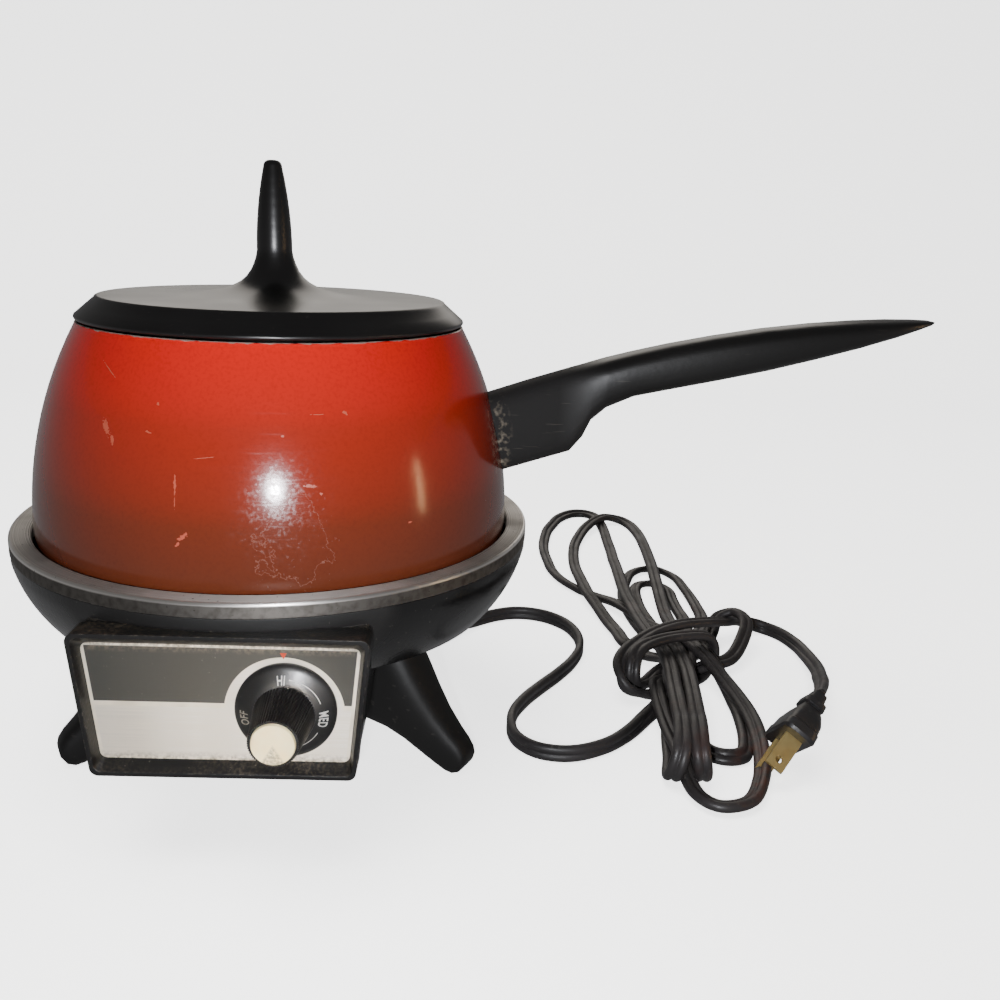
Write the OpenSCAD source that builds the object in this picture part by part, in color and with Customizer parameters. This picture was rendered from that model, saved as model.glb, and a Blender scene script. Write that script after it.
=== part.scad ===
// Electric fondue pot.
// An enamelled pot with a long handle and a moulded lid stands in a heater base.
// The base is a round bowl on a three-legged stand, with a control box in front.
// Origin: on the table under the pot's centre. +Z is up, -Y the front, +X the handle.

/* [Heater bowl] */
// how far the bowl's side comes in from its top to its bottom edge
bowl_taper = 12.2; // [8:0.2:16]
// height of the bowl's underside above the table
bowl_z = 61.5; // [58:0.5:66]
// radius of the curve of the bowl's side
bowl_curve = 55; // [40:1:80]
// height from the bowl's underside to the top of its rim
bowl_h = 34.5; // [32:0.5:38]
// wall of the moulded bowl and control housing
bowl_wall = 3.2; // [2.6:0.2:4]
// radius of the opening for the wires between the stand and the bowl
wire_hole_r = 5; // [4:0.5:5.5]

/* [Trim ring] */
// gap between the pot's side and the ring's inner edge
pot_gap = 0.9; // [0.6:0.1:1.6]
// how far the ring stands out past the bowl
ring_proud = 0.3; // [0.1:0.1:0.8]
// height of the ring's outer skirt
ring_skirt = 5.5; // [4:0.5:7]
// width of the ring's top
ring_top_w = 8.2; // [7.4:0.2:9]
// sheet thickness of the ring
ring_t = 1; // [0.6:0.1:1.2]

/* [Hot plate] */
// radius of the cast hot plate
plate_r = 78; // [72:0.5:80]
// thickness of the hot plate
plate_t = 4; // [3:0.5:5]
// height of the posts between the bowl's floor and the hot plate
post_h = 17; // [16:0.1:18]
// distance of the posts from the centre
post_r = 62; // [60:0.5:64]
// radius of the heating element's ring
element_r = 50; // [46:0.5:52]
// radius of the heating element's tube
element_tube_r = 3.3; // [2.8:0.1:3.6]
// radius of the heat shield
shield_r = 72; // [70:0.5:76]

/* [Pot] */
// widest radius of the pot
pot_r = 95.4; // [92:0.2:97]
// radius of the pot at its rim
pot_rim_r = 74.8; // [70:0.2:80]
// height of the pot
pot_h = 91.4; // [84:0.2:100]
// thickness of the pot's wall
pot_wall = 2; // [1.6:0.1:2.6]
// radius of the corner between the pot's wall and its bottom
pot_corner = 12; // [8:0.5:16]

/* [Lid] */
// thickness of the moulded lid
lid_wall = 2.6; // [2:0.1:3.4]
// radius of the lid's flat top at its outer edge
lid_top_r = 68.1; // [60:0.5:70]
// height of the lid's sloping side above its lip
lid_side_h = 9.2; // [7:0.2:13]
// height of the finial above the lid's side
finial_h = 51.8; // [40:0.2:60]
// radius of the finial just above its foot
finial_r = 6.9; // [5.5:0.1:9]
// radius of the finial near its tip
finial_tip_r = 3.6; // [3:0.1:5]
// depth of the flange that centres the lid in the pot
flange_h = 6; // [4:0.5:9]

/* [Handle] */
// width of the handle at the pot
handle_root_w = 24; // [21:0.5:28]
// width of the handle's grip
handle_grip_w = 21; // [16:0.5:26]
// height of the tongue that carries the handle
tongue_h = 12; // [9:0.5:14]
// width of the tongue that carries the handle
tongue_w = 8; // [6:0.5:10]

/* [Stand] */
// angle of each front leg from straight ahead
leg_angle = 62.5; // [58:0.5:68]
// half width of a leg where it leaves the hub
leg_root_w = 13; // [10:0.5:15]
// half width of a leg at its toe
leg_toe_w = 6.4; // [5:0.2:8]
// wall of the moulded stand
stand_wall = 3; // [2.4:0.2:3.6]
// radius of the hub between the legs
hub_r = 40; // [36:0.5:43]
// height of the hub's lower rim above the table
hub_z = 14.5; // [12:0.5:18]

/* [Control box] */
// how far the box's front stands out past the bowl
box_proud = 3.8; // [3:0.2:9]
// width of the box across its top
box_top_w = 98.7; // [90:0.5:104]
// width of the box across its bottom
box_bottom_w = 88.5; // [82:0.5:98]
// height of the box's underside above the table
box_z = 35.1; // [32:0.5:40]
// height of the box's front
box_h = 51.5; // [47:0.5:53]
// depth of the front frame
bezel_d = 10; // [8:0.5:12]
// depth of the recess that holds the faceplate
recess_d = 4; // [3:0.5:5]
// thickness of the panel behind the faceplate
panel_t = 3.2; // [3:0.1:3.6]
// thickness of the faceplate
faceplate_t = 0.8; // [0.5:0.1:1.2]
// width of the frame beside the faceplate
frame_side = 2.9; // [2.2:0.1:4]
// width of the frame above and below the faceplate
frame_end = 4.6; // [3.5:0.1:6]

/* [Knob and thermostat] */
// distance of the knob to the right of the box's middle
knob_x = 21; // [16:0.5:24]
// height of the knob's centre above the table
knob_z = 59.6; // [56:0.2:63]
// radius of the knob's dial skirt
dial_r = 17; // [15:0.5:18]
// radius of the fluted grip where it leaves the skirt
grip_r = 10.4; // [9:0.2:12]
// radius of the fluted grip at its front
grip_tip_r = 8.2; // [7:0.2:9]
// width of the thermostat's case
case_w = 24; // [22:1:25]
// distance the knob stands out from the faceplate
knob_proud = 24; // [20:0.5:28]
// number of flutes round the grip
flutes = 60; // [40:2:72]
// radius of the thermostat's shaft
shaft_r = 3; // [2.5:0.1:3.2]
// running clearance of the shaft in its bushing
shaft_clearance = 0.05; // [0.03:0.01:0.08]

/* [Cord and plug] */
// width of the flat two-core cord
cord_w = 6.8; // [6:0.1:7.2]
// thickness of the flat two-core cord
cord_t = 4; // [3.4:0.1:4.4]
// length of the strain relief outside the hub
relief_l = 30; // [24:1:36]
// distance between the plug's blades
blade_pitch = 12.7; // [12:0.1:13.4]
// width of the plug's narrow blade
blade_w = 6.35; // [6:0.05:6.7]
// width of the plug's wide blade
wide_blade_w = 7.9; // [7.4:0.1:8.2]
// thickness of a blade
blade_t = 1.5; // [1.3:0.1:1.7]
// length of a blade outside the plug
blade_l = 16; // [14:0.5:18]
// length of the plug's body
plug_l = 25.5; // [23:0.5:30]

/* [Hidden] */
$fn = 96;
fit = 0.3;
bury = 1;
shoulder_r = 5;
screw_r = 2;
screw_head_r = 3.8;
screw_head_h = 2;
wire_r = 1.2;

bowl_r = pot_r + pot_gap + ring_top_w - ring_proud;
bowl_foot_r = bowl_r - bowl_taper;
bowl_floor_z = bowl_z + bowl_wall;
bowl_rim_z = bowl_z + bowl_h;
ring_r = bowl_r + ring_proud;
ring_top_z = bowl_rim_z + ring_t;
ring_in_r = ring_r - ring_top_w;
well_r = ring_in_r + ring_t + 1.5;
bowl_belly_z = ring_top_z - ring_skirt - fit - 3.2;

post_top_z = bowl_floor_z + post_h;
plate_top_z = post_top_z + plate_t;
shield_z = bowl_floor_z + 5.5;
element_z = post_top_z - 2.5;
element_gap = 11;
strap_z = element_z - element_tube_r - 1.2;

pot_z = plate_top_z + fit;
pot_rim_z = pot_z + pot_h;
belly_z = pot_z + pot_corner;
belly_drop = pot_r - pot_rim_r;
belly_rise = pot_rim_z - belly_z;
belly_radius = (belly_rise * belly_rise + belly_drop * belly_drop) / (2 * belly_drop);

lid_z = pot_rim_z + fit;
lid_lip_r = pot_rim_r + 0.6;
lid_edge_z = lid_z + lid_side_h;
finial_foot_z = lid_edge_z + 17.8;
finial_top_z = lid_edge_z + finial_h;

box_front = -bowl_r - box_proud;
box_back = box_front + bezel_d;
panel_front = box_front + recess_d + faceplate_t;
panel_back = panel_front + panel_t;
plate_front = box_front + recess_d;
housing_end = -52;
case_d = 18;
case_end = panel_back + case_d;
case_top = knob_z + case_w / 2;
knob_front = plate_front - knob_proud;
knob_back = plate_front - 0.6;
bore_r = shaft_r + shaft_clearance;
bushing_r = 4.9;

hub_top_t = 3;
wire_x = 12;
stand_screw_r = hub_r - 10;
gland_angle = 140;
gland_z = 38;
gland_r = 6;
gland_seat = hub_r - 1;
gland_inner = hub_r - 11;
cover_r = hub_r - 7.7;
cover_t = 3;
gland_dir = [sin(gland_angle), -cos(gland_angle), 0];
leg_angles = [leg_angle, 180, -leg_angle];
post_angles = [0, 120, 240];
strap_angles = [60, 180, 300];
stand_screw_angles = [60, 180, 300];

// Centre-plane outline of a leg, from the hub to the toe: radius and height.
leg_outer = [[58, 70], [62, 61.5], [66.5, 51], [71, 42.5], [76, 33.5], [81.5, 25],
             [87.5, 17.8], [91.5, 13.8], [93.8, 10.4], [94.4, 7.6], [94, 5]];
leg_under = [[8, hub_z], [28, hub_z], [46, hub_z], [58, 13], [66, 10], [73.5, 5.8],
             [80, 2.2], [84.8, -0.2], [88, -0.7], [91, 0.6], [93.2, 3.4]];
leg_share = [0, 0, 0.1, 0.25, 0.45, 0.65, 0.82, 0.93, 1, 1.1, 1.4];

// Side outline of the handle, from the pot to the tip: distance past the pot's side and
// height above the tongue.
handle_top = [[-19.4, 10.2], [-7.4, 14.4], [8.6, 20], [25.6, 25.6], [29.6, 26.8], [33.6, 28.1],
              [39.6, 30], [49.6, 32.8], [64.6, 36.6], [82.6, 40.5], [102.6, 44.2], [122.6, 47],
              [140.6, 48.8], [154.6, 49.7], [164.6, 50], [170.6, 50], [172.6, 49.6]];
handle_low = [[-19.4, -22.5], [-1.4, -17.6], [12.6, -13], [25.6, -8.8], [30.6, -2.5], [33.6, 4.5],
              [39.6, 10], [50.6, 15], [66.6, 18.6], [84.6, 22.6], [104.6, 27.3], [123.6, 32.6],
              [141.6, 38], [155.6, 42.8], [164.6, 46], [170.6, 48], [172.6, 49]];
handle_screw_x = 12.6;
handle_even_x = 58.6;
handle_round_x = 144.6;
tip_l = 28.6;

// Route of the cord from the strain relief to the hank, then from the hank to the plug.
lead_route = [[52, 62, 36], [62, 74, 24], [74, 90, 9], [86, 105, 3.6], [98, 116, 3.6], [112, 120, 3.6],
              [126, 116, 3.6], [137, 104, 3.6], [142, 88, 3.6], [141, 70, 3.6], [134, 52, 3.6],
              [124, 36, 3.6], [112, 18, 3.6], [103, 0, 3.6], [101, -16, 3.6], [108, -30, 3.6],
              [122, -35, 3.6], [138, -30, 3.6], [152, -18, 3.6], [163, -2, 3.6], [170, 10, 3.6]];
tail_route = [[214, 106, 3.6], [228, 111, 3.6], [242, 110, 3.6], [253, 103, 3.6], [259, 91, 3.6],
              [261, 77, 4], [260, 60, 6], [256, 40, 10], [249, 16, 17], [240, -9, 25], [232, -26, 29.5]];

// Centre line of the cord's hank: place and half width.
hank_spine = [[160, 299, 28], [175, 200, 30], [190, 110, 30], [192, 50, 26], [188, 0, 21],
              [182.5, -59, 15.5]];
hank_h = 22;
plug_turn = [-39, 33, -139];

// ---------- shared geometry ----------

function unit(v) = v / norm(v);

function arc(c, r, a0, a1, n) =
    [for (i = [0:n]) let (a = a0 + (a1 - a0) * i / n) c + r * [cos(a), sin(a)]];

function power(v, e) = sign(v) * pow(abs(v), e);

// One rounded corner at p, between the points a and b.
function corner(a, p, b, r, n) =
    let (u = unit(a - p), v = unit(b - p), half = acos(u * v) / 2)
    let (c = p + unit(u + v) * r / sin(half), s = p + u * r / tan(half) - c)
    let (e = p + v * r / tan(half) - c, turn = 180 - 2 * half)
    [for (i = [0:n]) c + (s * sin(turn * (1 - i / n)) + e * sin(turn * i / n)) / sin(turn)];

// A closed outline with every corner rounded.
function rounded(pts, r, n = 5) =
    [for (i = [0:len(pts) - 1])
        each corner(pts[(i + len(pts) - 1) % len(pts)], pts[i], pts[(i + 1) % len(pts)], r, n)];

// A smooth curve through the points.
function blend(a, b, c, d, t) =
    (2 * b + (c - a) * t + (2 * a - 5 * b + 4 * c - d) * t * t + (3 * b - a - 3 * c + d) * t * t * t) / 2;

function smooth(p, n) =
    let (last = len(p) - 1)
    [for (i = [0:last - 1], k = [0:n - 1])
        blend(p[max(i - 1, 0)], p[i], p[i + 1], p[min(i + 2, last)], k / n), p[last]];

// Rings of an oval bar whose top and bottom edges lie in the XZ plane.
function oval_rings(top, low, half_w, e, m) =
    [for (i = [0:len(top) - 1])
        let (c = (top[i] + low[i]) / 2, h = (top[i] - low[i]) / 2)
        [for (k = [0:m - 1])
            let (s = power(sin(360 * k / m), e), w = half_w[i] * power(cos(360 * k / m), e))
            [c[0] + h[0] * s, w, c[1] + h[1] * s]]];

// Rings of an oval section carried along a route, with its long side along ref.
function tube_rings(route, a, b, ref, m) =
    let (last = len(route) - 1)
    [for (i = [0:last])
        let (t = unit(route[min(i + 1, last)] - route[max(i - 1, 0)]))
        let (side = unit(cross(ref, t)), up = cross(t, side))
        [for (k = [0:m - 1]) route[i] + side * a * cos(360 * k / m) + up * b * sin(360 * k / m)]];

module loft(rings) {
    m = len(rings[0]);
    n = len(rings);
    sides = [for (i = [0:n - 2], j = [0:m - 1])
        let (k = (j + 1) % m)
        each [[i * m + j, (i + 1) * m + k, i * m + k], [i * m + j, (i + 1) * m + j, (i + 1) * m + k]]];
    ends = [[for (j = [0:m - 1]) j], [for (j = [0:m - 1]) n * m - 1 - j]];
    polyhedron(points = [for (r = rings) each r], faces = concat(sides, ends));
}

// Puts a shape drawn upwards from the XY plane on the front of the box, facing forwards.
module facing(x, y, z) {
    translate([x, y, z])
        rotate([90, 0, 0])
            children();
}

// Points a shape drawn upwards back into the box.
module driven(x, y, z) {
    translate([x, y, z])
        rotate([-90, 0, 0])
            children();
}

// Turns a shape drawn along +X to an angle from straight ahead.
module heading(angle) {
    rotate([0, 0, angle - 90])
        children();
}

// A pan-head screw that points up from z = 0, with its head below.
module screw(length) {
    translate([0, 0, -screw_head_h])
        cylinder(h = screw_head_h, r1 = screw_head_r - 0.8, r2 = screw_head_r);
    translate([0, 0, -0.01])
        cylinder(h = length + 0.01, r = screw_r);
}

// ---------- lid ----------

// The height of the lid's top: a flat disc that sweeps up into the finial's foot.
function lid_top(r) = lid_edge_z - 0.3 + 72 * (1 - (r - 8) / (lid_top_r - 8)) / (r - 2.74);

// One point on the finial's side, at a share t of its height.
function finial_side(t) = [finial_r - (finial_r - finial_tip_r) * t * t,
                           finial_foot_z + (finial_top_z - 2.4 - finial_foot_z) * t];

module lid() {
    tip = arc([finial_tip_r - 2.4, finial_top_z - 2.4], 2.4, 90, 0, 5);
    finial = [for (i = [7:-1:0]) finial_side(i / 8)];
    sweep = [for (i = [0:11]) let (r = 7.3 + 30 * pow(i / 11, 2)) [r, lid_top(r)]];
    edge = concat([[lid_top_r - 1.5, lid_edge_z]], arc([lid_top_r - 1.5, lid_edge_z - 1.5], 1.5, 80, 20, 2));
    lip = arc([lid_lip_r - 1, lid_z + 1.4], 1, 40, -60, 4);
    flange_r = pot_rim_r - pot_wall - 1.2;
    inside = [[lid_lip_r - 1.6, lid_z], [flange_r, lid_z], [flange_r - 0.6, lid_z - flange_h],
              [flange_r - 2.2, lid_z - flange_h], [flange_r - 2.6, lid_z + 2],
              [lid_top_r - lid_wall - 1.6, lid_edge_z - lid_wall], [0, lid_edge_z - lid_wall]];
    color("#1c1b1b")
        rotate_extrude()
            polygon(concat([[0, finial_top_z]], tip, finial, sweep, edge, lip, inside));
}

// ---------- pot ----------

// The radius of the pot's outside at a height above the belly.
function pot_side(z) = pot_r - belly_radius + sqrt(pow(belly_radius, 2) - pow(z - belly_z, 2));

module pot_solid(grow) {
    top = pot_rim_z + bury;
    rotate_extrude()
        polygon(concat([[0, top], [0, pot_z - grow]],
            arc([pot_r - pot_corner, belly_z], pot_corner + grow, -90, 0, 8),
            [for (i = [1:14]) let (z = belly_z + (top - belly_z) * i / 14) [pot_side(z) + grow, z]]));
}

module pot_shell() {
    round_z = pot_rim_z - pot_wall / 2;
    rim_c = [pot_side(round_z) - pot_wall / 2, round_z];
    steps = [for (i = [1:14]) belly_z + (round_z - 0.5 - belly_z) * i / 14];
    corner_c = [pot_r - pot_corner, belly_z];
    color("#a3301c")
        rotate_extrude()
            polygon(concat([[0, pot_z]], arc(corner_c, pot_corner, -90, 0, 8),
                [for (z = steps) [pot_side(z), z]],
                arc(rim_c, pot_wall / 2, 0, 180, 8),
                [for (i = [13:-1:0]) [pot_side(steps[i]) - pot_wall, steps[i]]],
                arc(corner_c, pot_corner - pot_wall, 0, -90, 8),
                [[0, pot_z + pot_wall]]));
}

tongue_z = pot_z + 51;
tongue_end = pot_r + handle_screw_x + 12;

module handle_bracket() {
    color("#9b9a96")
        difference() {
            union() {
                translate([pot_r - 10, -tongue_w / 2, tongue_z - tongue_h / 2])
                    cube([tongue_end - pot_r + 10, tongue_w, tongue_h]);
                intersection() {
                    pot_solid(1.5);
                    translate([0, -8, tongue_z - 11])
                        cube([pot_r + 10, 16, 22]);
                }
            }
            pot_solid(0);
            translate([pot_r + handle_screw_x, 0, 0])
                cylinder(h = pot_rim_z, r = screw_r);
        }
}

// Half the handle's width: wide at the pot, even along the grip and round at the tip.
function handle_half(x) =
    (handle_root_w + (handle_grip_w - handle_root_w)
        * min(1, max(0, 1 - (handle_even_x - x) / 50))) / 2
    * (x < handle_round_x ? 1 : sqrt(max(0.04, 1 - pow((x - handle_round_x) / tip_l, 2))));

module pot_handle() {
    widths = [for (p = handle_top) handle_half(p[0])];
    color("#1b1a1a")
        difference() {
            translate([pot_r, 0, tongue_z])
                loft(oval_rings(handle_top, handle_low, widths, 0.6, 28));
            pot_solid(0);
            intersection() {
                pot_solid(1.5 + fit);
                translate([0, -8 - fit, tongue_z - 11 - fit])
                    cube([pot_r + 10, 16 + 2 * fit, 22 + 2 * fit]);
            }
            translate([0, -tongue_w / 2 - 0.2, tongue_z - tongue_h / 2 - 0.2])
                cube([tongue_end + 1, tongue_w + 0.4, tongue_h + 0.4]);
            translate([pot_r + handle_screw_x, 0, 0])
                cylinder(h = tongue_z, r = screw_r + 0.2);
            translate([pot_r + handle_screw_x, 0, 0])
                cylinder(h = tongue_z - tongue_h / 2 - 2.5, r = screw_head_r + 0.4);
        }
}

module handle_screw() {
    color("#8d8b86")
        translate([pot_r + handle_screw_x, 0, tongue_z - tongue_h / 2 - 2.5])
            screw(2.5 + tongue_h);
}

// ---------- heater bowl ----------

module trim_ring() {
    color("#a7a5a1")
        rotate_extrude()
            polygon(concat([[ring_r, ring_top_z - ring_skirt]],
                arc([ring_r - 1.2, ring_top_z - 1.2], 1.2, 0, 90, 5),
                arc([ring_in_r + 1, ring_top_z - 1], 1, 90, 180, 5),
                [[ring_in_r, ring_top_z - 5], [ring_in_r + ring_t, ring_top_z - 5],
                 [ring_in_r + ring_t, ring_top_z - ring_t], [ring_r - ring_t, ring_top_z - ring_t],
                 [ring_r - ring_t, ring_top_z - ring_skirt]]));
}

// Curve of the bowl's side from its bottom edge up to its upright lip, shrunk by d.
function bowl_side(d) =
    let (low = [bowl_foot_r, bowl_z + 2.4], high = [bowl_r, bowl_belly_z], span = high - low)
    let (out = unit([span[1], -span[0]]), h = norm(span) / 2)
    let (c = (low + high) / 2 - out * sqrt(bowl_curve * bowl_curve - h * h))
    let (a0 = atan2(low[1] - c[1], low[0] - c[0]), a1 = atan2(high[1] - c[1], high[0] - c[0]))
    arc(c, bowl_curve - d, a0, a1, 10);

module bowl_outside() {
    edge = bowl_side(0)[0];
    rotate_extrude()
        polygon(concat([[0, bowl_z]], arc([edge[0] - 3.2, bowl_z + 2.4], 2.4, -90, -30, 3), bowl_side(0),
            [[bowl_r, ring_top_z - ring_skirt - fit],
             [ring_r - ring_t - 0.2, ring_top_z - ring_skirt - fit],
             [ring_r - ring_t - 0.2, bowl_rim_z], [0, bowl_rim_z]]));
}

module bowl_inside() {
    rotate_extrude()
        polygon(concat([[0, bowl_floor_z], [bowl_side(bowl_wall)[1][0] - 4, bowl_floor_z]],
            [for (i = [2:10]) bowl_side(bowl_wall)[i]],
            [[well_r, bowl_belly_z + 4], [well_r, bowl_rim_z + bury], [0, bowl_rim_z + bury]]));
}

// Outline of the control box in the XZ plane, shrunk by side and end amounts.
function box_outline(side, end, r) =
    let (top = box_z + box_h - end, low = box_z + end)
    let (slope = (box_top_w - box_bottom_w) / 2 / box_h)
    let (wt = box_top_w / 2 - side - slope * end, wl = box_bottom_w / 2 - side + slope * end)
    rounded([[-wl, low], [wl, low], [wt, top], [-wt, top]], r);

// A prism of the box's outline between two distances from the centre, front first.
module box_prism(y0, y1, side, end, r) {
    translate([0, y1, 0])
        rotate([90, 0, 0])
            linear_extrude(height = y1 - y0)
                polygon(box_outline(side, end, r));
}

// Half the box's width at height z.
function box_half(z) = (box_bottom_w + (box_top_w - box_bottom_w) * (z - box_z) / box_h) / 2;

bezel_screw_in = 7.7;
bezel_screw_at = [for (z = [box_z + 9, box_z + box_h - 9], side = [-1, 1])
                  [side * (box_half(z) - bezel_screw_in), z]];
bezel_boss_r = 4.2;
bezel_boss_l = box_back + 14 - panel_back;

module base_shell() {
    inset = 0.6;
    color("#232222")
        difference() {
            union() {
                difference() {
                    union() {
                        bowl_outside();
                        box_prism(box_back, housing_end, inset, inset, 3);
                    }
                    bowl_inside();
                    box_prism(box_front - bury, box_back, 0, 0, 3);
                    box_prism(box_back - bury, -70, inset + bowl_wall, inset + bowl_wall, 2);
                    intersection() {
                        box_prism(-71, housing_end - bowl_wall, inset + bowl_wall, inset + bowl_wall, 2);
                        translate([-100, -100, 0])
                            cube([200, 200, bowl_z]);
                    }
                }
                for (a = stand_screw_angles)
                    heading(a)
                        translate([stand_screw_r, 0, bowl_floor_z - bury])
                            cylinder(h = bury + 5, r = shoulder_r);
                intersection() {
                    box_prism(panel_back, box_back + 14, inset + bowl_wall - 0.1, inset + bowl_wall - 0.1, 2);
                    for (p = bezel_screw_at)
                        driven(p[0], panel_back, p[1])
                            cylinder(h = bezel_boss_l, r = bezel_boss_r);
                }
            }
            translate([wire_x, 0, bowl_z - bury])
                cylinder(h = 20, r = wire_hole_r);
            for (a = post_angles)
                heading(a)
                    translate([post_r, 0, bowl_z - bury])
                        cylinder(h = 20, r = screw_r);
            for (a = stand_screw_angles)
                heading(a)
                    translate([stand_screw_r, 0, bowl_z - bury])
                        cylinder(h = bury + 6.5, r = screw_r);
            for (p = bezel_screw_at)
                driven(p[0], panel_back - bury, p[1])
                    cylinder(h = bezel_boss_l - 1, r = screw_r);
        }
}

// ---------- hot plate and heating element ----------

module hot_plate() {
    color("#8f8e8b")
        difference() {
            union() {
                translate([0, 0, post_top_z])
                    cylinder(h = plate_t, r = plate_r);
                for (a = strap_angles)
                    heading(a)
                        for (side = [-1, 1])
                            translate([element_r + side * (element_tube_r + 5), 0, strap_z + 1.2])
                                cylinder(h = post_top_z - strap_z, r = 4);
            }
            translate([0, 0, element_z])
                rotate_extrude()
                    translate([element_r, 0])
                        circle(r = element_tube_r + 0.05);
            for (x = [-1, 1])
                translate([x * element_gap, -element_r + 6, element_z])
                    rotate([90, 0, 0])
                        cylinder(h = plate_r, r = element_tube_r + 0.6);
            for (a = strap_angles)
                heading(a)
                    for (side = [-1, 1])
                        translate([element_r + side * (element_tube_r + 5), 0, strap_z])
                            cylinder(h = 6, r = screw_r);
            for (a = post_angles)
                heading(a)
                    translate([post_r, 0, post_top_z - bury])
                        cylinder(h = bury + 2.5, r = screw_r);
        }
}

element_end = -84;

module heating_element() {
    open = asin(element_gap / element_r);
    color("#5c5a57")
        union() {
            translate([0, 0, element_z])
                rotate([0, 0, -90 + open])
                    rotate_extrude(angle = 360 - 2 * open)
                        translate([element_r, 0])
                            circle(r = element_tube_r);
            for (x = [-1, 1])
                translate([x * element_gap, -element_r * cos(open) + 2, element_z])
                    rotate([90, 0, 0])
                        cylinder(h = -element_end - element_r * cos(open) + 2, r = element_tube_r);
        }
}

module element_tabs() {
    color("#b9b5a8")
        for (x = [-1, 1])
            translate([x * element_gap - 2.4, element_end - 8, element_z - 0.4])
                cube([4.8, 8, 0.8]);
}

module element_straps() {
    color("#b9b5a8")
        for (a = strap_angles)
            heading(a)
                difference() {
                    translate([element_r - element_tube_r - 9, -4, strap_z])
                        cube([2 * element_tube_r + 18, 8, 1.2]);
                    for (side = [-1, 1])
                        translate([element_r + side * (element_tube_r + 5), 0, strap_z - bury])
                            cylinder(h = 4, r = screw_r);
                }
}

module strap_screws() {
    color("#b9b5a8")
        for (a = strap_angles)
            heading(a)
                for (side = [-1, 1])
                    translate([element_r + side * (element_tube_r + 5), 0, strap_z])
                        screw(6);
}

module plate_posts() {
    color("#b9b5a8")
        for (a = post_angles)
            heading(a)
                translate([post_r, 0, 0])
                    difference() {
                        union() {
                            translate([0, 0, bowl_floor_z])
                                cylinder(h = shield_z - bowl_floor_z, r = shoulder_r);
                            translate([0, 0, bowl_floor_z])
                                cylinder(h = post_h, r = 3.4);
                            translate([0, 0, post_top_z])
                                cylinder(h = 2, r = screw_r);
                        }
                        translate([0, 0, bowl_floor_z - bury])
                            cylinder(h = 10 + bury, r = screw_r);
                    }
}

module post_screws() {
    color("#8d8b86")
        for (a = post_angles)
            heading(a)
                translate([post_r, 0, bowl_z])
                    screw(bowl_wall + 9);
}

module heat_shield() {
    color("#b5b3ae")
        difference() {
            rotate_extrude()
                polygon([[0, shield_z], [shield_r, shield_z], [shield_r + 3, shield_z + 4],
                         [shield_r + 2.2, shield_z + 4.6], [shield_r - 0.5, shield_z + 0.9],
                         [0, shield_z + 0.9]]);
            for (a = post_angles)
                heading(a)
                    translate([post_r, 0, shield_z - bury])
                        cylinder(h = 8, r = 3.7);
        }
}

// ---------- stand ----------

module leg() {
    half = [for (s = leg_share) leg_root_w + (leg_toe_w - leg_root_w) * s];
    difference() {
        intersection() {
            loft(oval_rings(leg_outer, leg_under, half, 0.62, 28));
            translate([0, -40, 0])
                cube([120, 80, bowl_z]);
        }
        channel();
    }
}

// The hollow under a leg, open along its underside and closed towards the toe.
module channel() {
    inner_top = [for (i = [0:5]) leg_outer[i] - stand_wall * [1.25, 0.75]];
    inner_low = [for (i = [0:5]) leg_under[i] - [0, 12]];
    inner_half = [for (i = [0:5])
        (leg_root_w + (leg_toe_w - leg_root_w) * leg_share[i]) - stand_wall + (i == 5 ? -1.5 : 0)];
    intersection() {
        loft(oval_rings(inner_top, inner_low, inner_half, 0.5, 20));
        translate([0, -40, -20])
            cube([120, 80, bowl_z - hub_top_t + 20]);
    }
}

// The hub's cone between two heights, shrunk by d.
module hub_cone(z0, z1, d) {
    translate([0, 0, z0])
        cylinder(h = z1 - z0, r1 = hub_r - 6 - d, r2 = hub_r - d);
}

// A round bar along the gland's axis between two distances from the hub's centre.
module gland_bar(r0, r1, radius, end_radius) {
    heading(gland_angle)
        translate([r0, 0, gland_z])
            rotate([0, 90, 0])
                cylinder(h = r1 - r0, r1 = radius, r2 = end_radius);
}

module stand() {
    color("#1e1d1d")
        difference() {
            union() {
                for (a = leg_angles)
                    heading(a)
                        leg();
                hub_cone(hub_z, bowl_z, 0);
                gland_bar(gland_inner, gland_seat, gland_r + 3.4, gland_r + 3.4);
            }
            difference() {
                hub_cone(hub_z - bury, bowl_z - hub_top_t, stand_wall);
                translate([0, 0, hub_z + cover_t])
                    cylinder(h = bowl_z, r = shoulder_r + 1);
            }
            translate([0, 0, hub_z - bury])
                cylinder(h = cover_t + bury, r = cover_r + 0.2);
            translate([0, 0, hub_z - bury])
                cylinder(h = 20, r = screw_r);
            for (a = stand_screw_angles)
                heading(a)
                    translate([stand_screw_r, 0, bowl_z - 10])
                        cylinder(h = 20, r = screw_r + 0.2);
            translate([wire_x, 0, bowl_z - 10])
                cylinder(h = 20, r = wire_hole_r);
            gland_bar(gland_inner - 1, gland_seat + 4, gland_r, gland_r);
        }
}

module stand_screws() {
    color("#8d8b86")
        for (a = stand_screw_angles)
            heading(a)
                translate([stand_screw_r, 0, bowl_z - hub_top_t])
                    screw(hub_top_t + 6);
}

module bottom_cover() {
    color("#242323")
        difference() {
            translate([0, 0, hub_z])
                cylinder(h = cover_t, r = cover_r);
            translate([0, 0, hub_z - bury])
                cylinder(h = 6, r = screw_r + 0.2);
        }
}

module cover_screw() {
    color("#8d8b86")
        translate([0, 0, hub_z])
            screw(14);
}

// ---------- control box ----------

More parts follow.
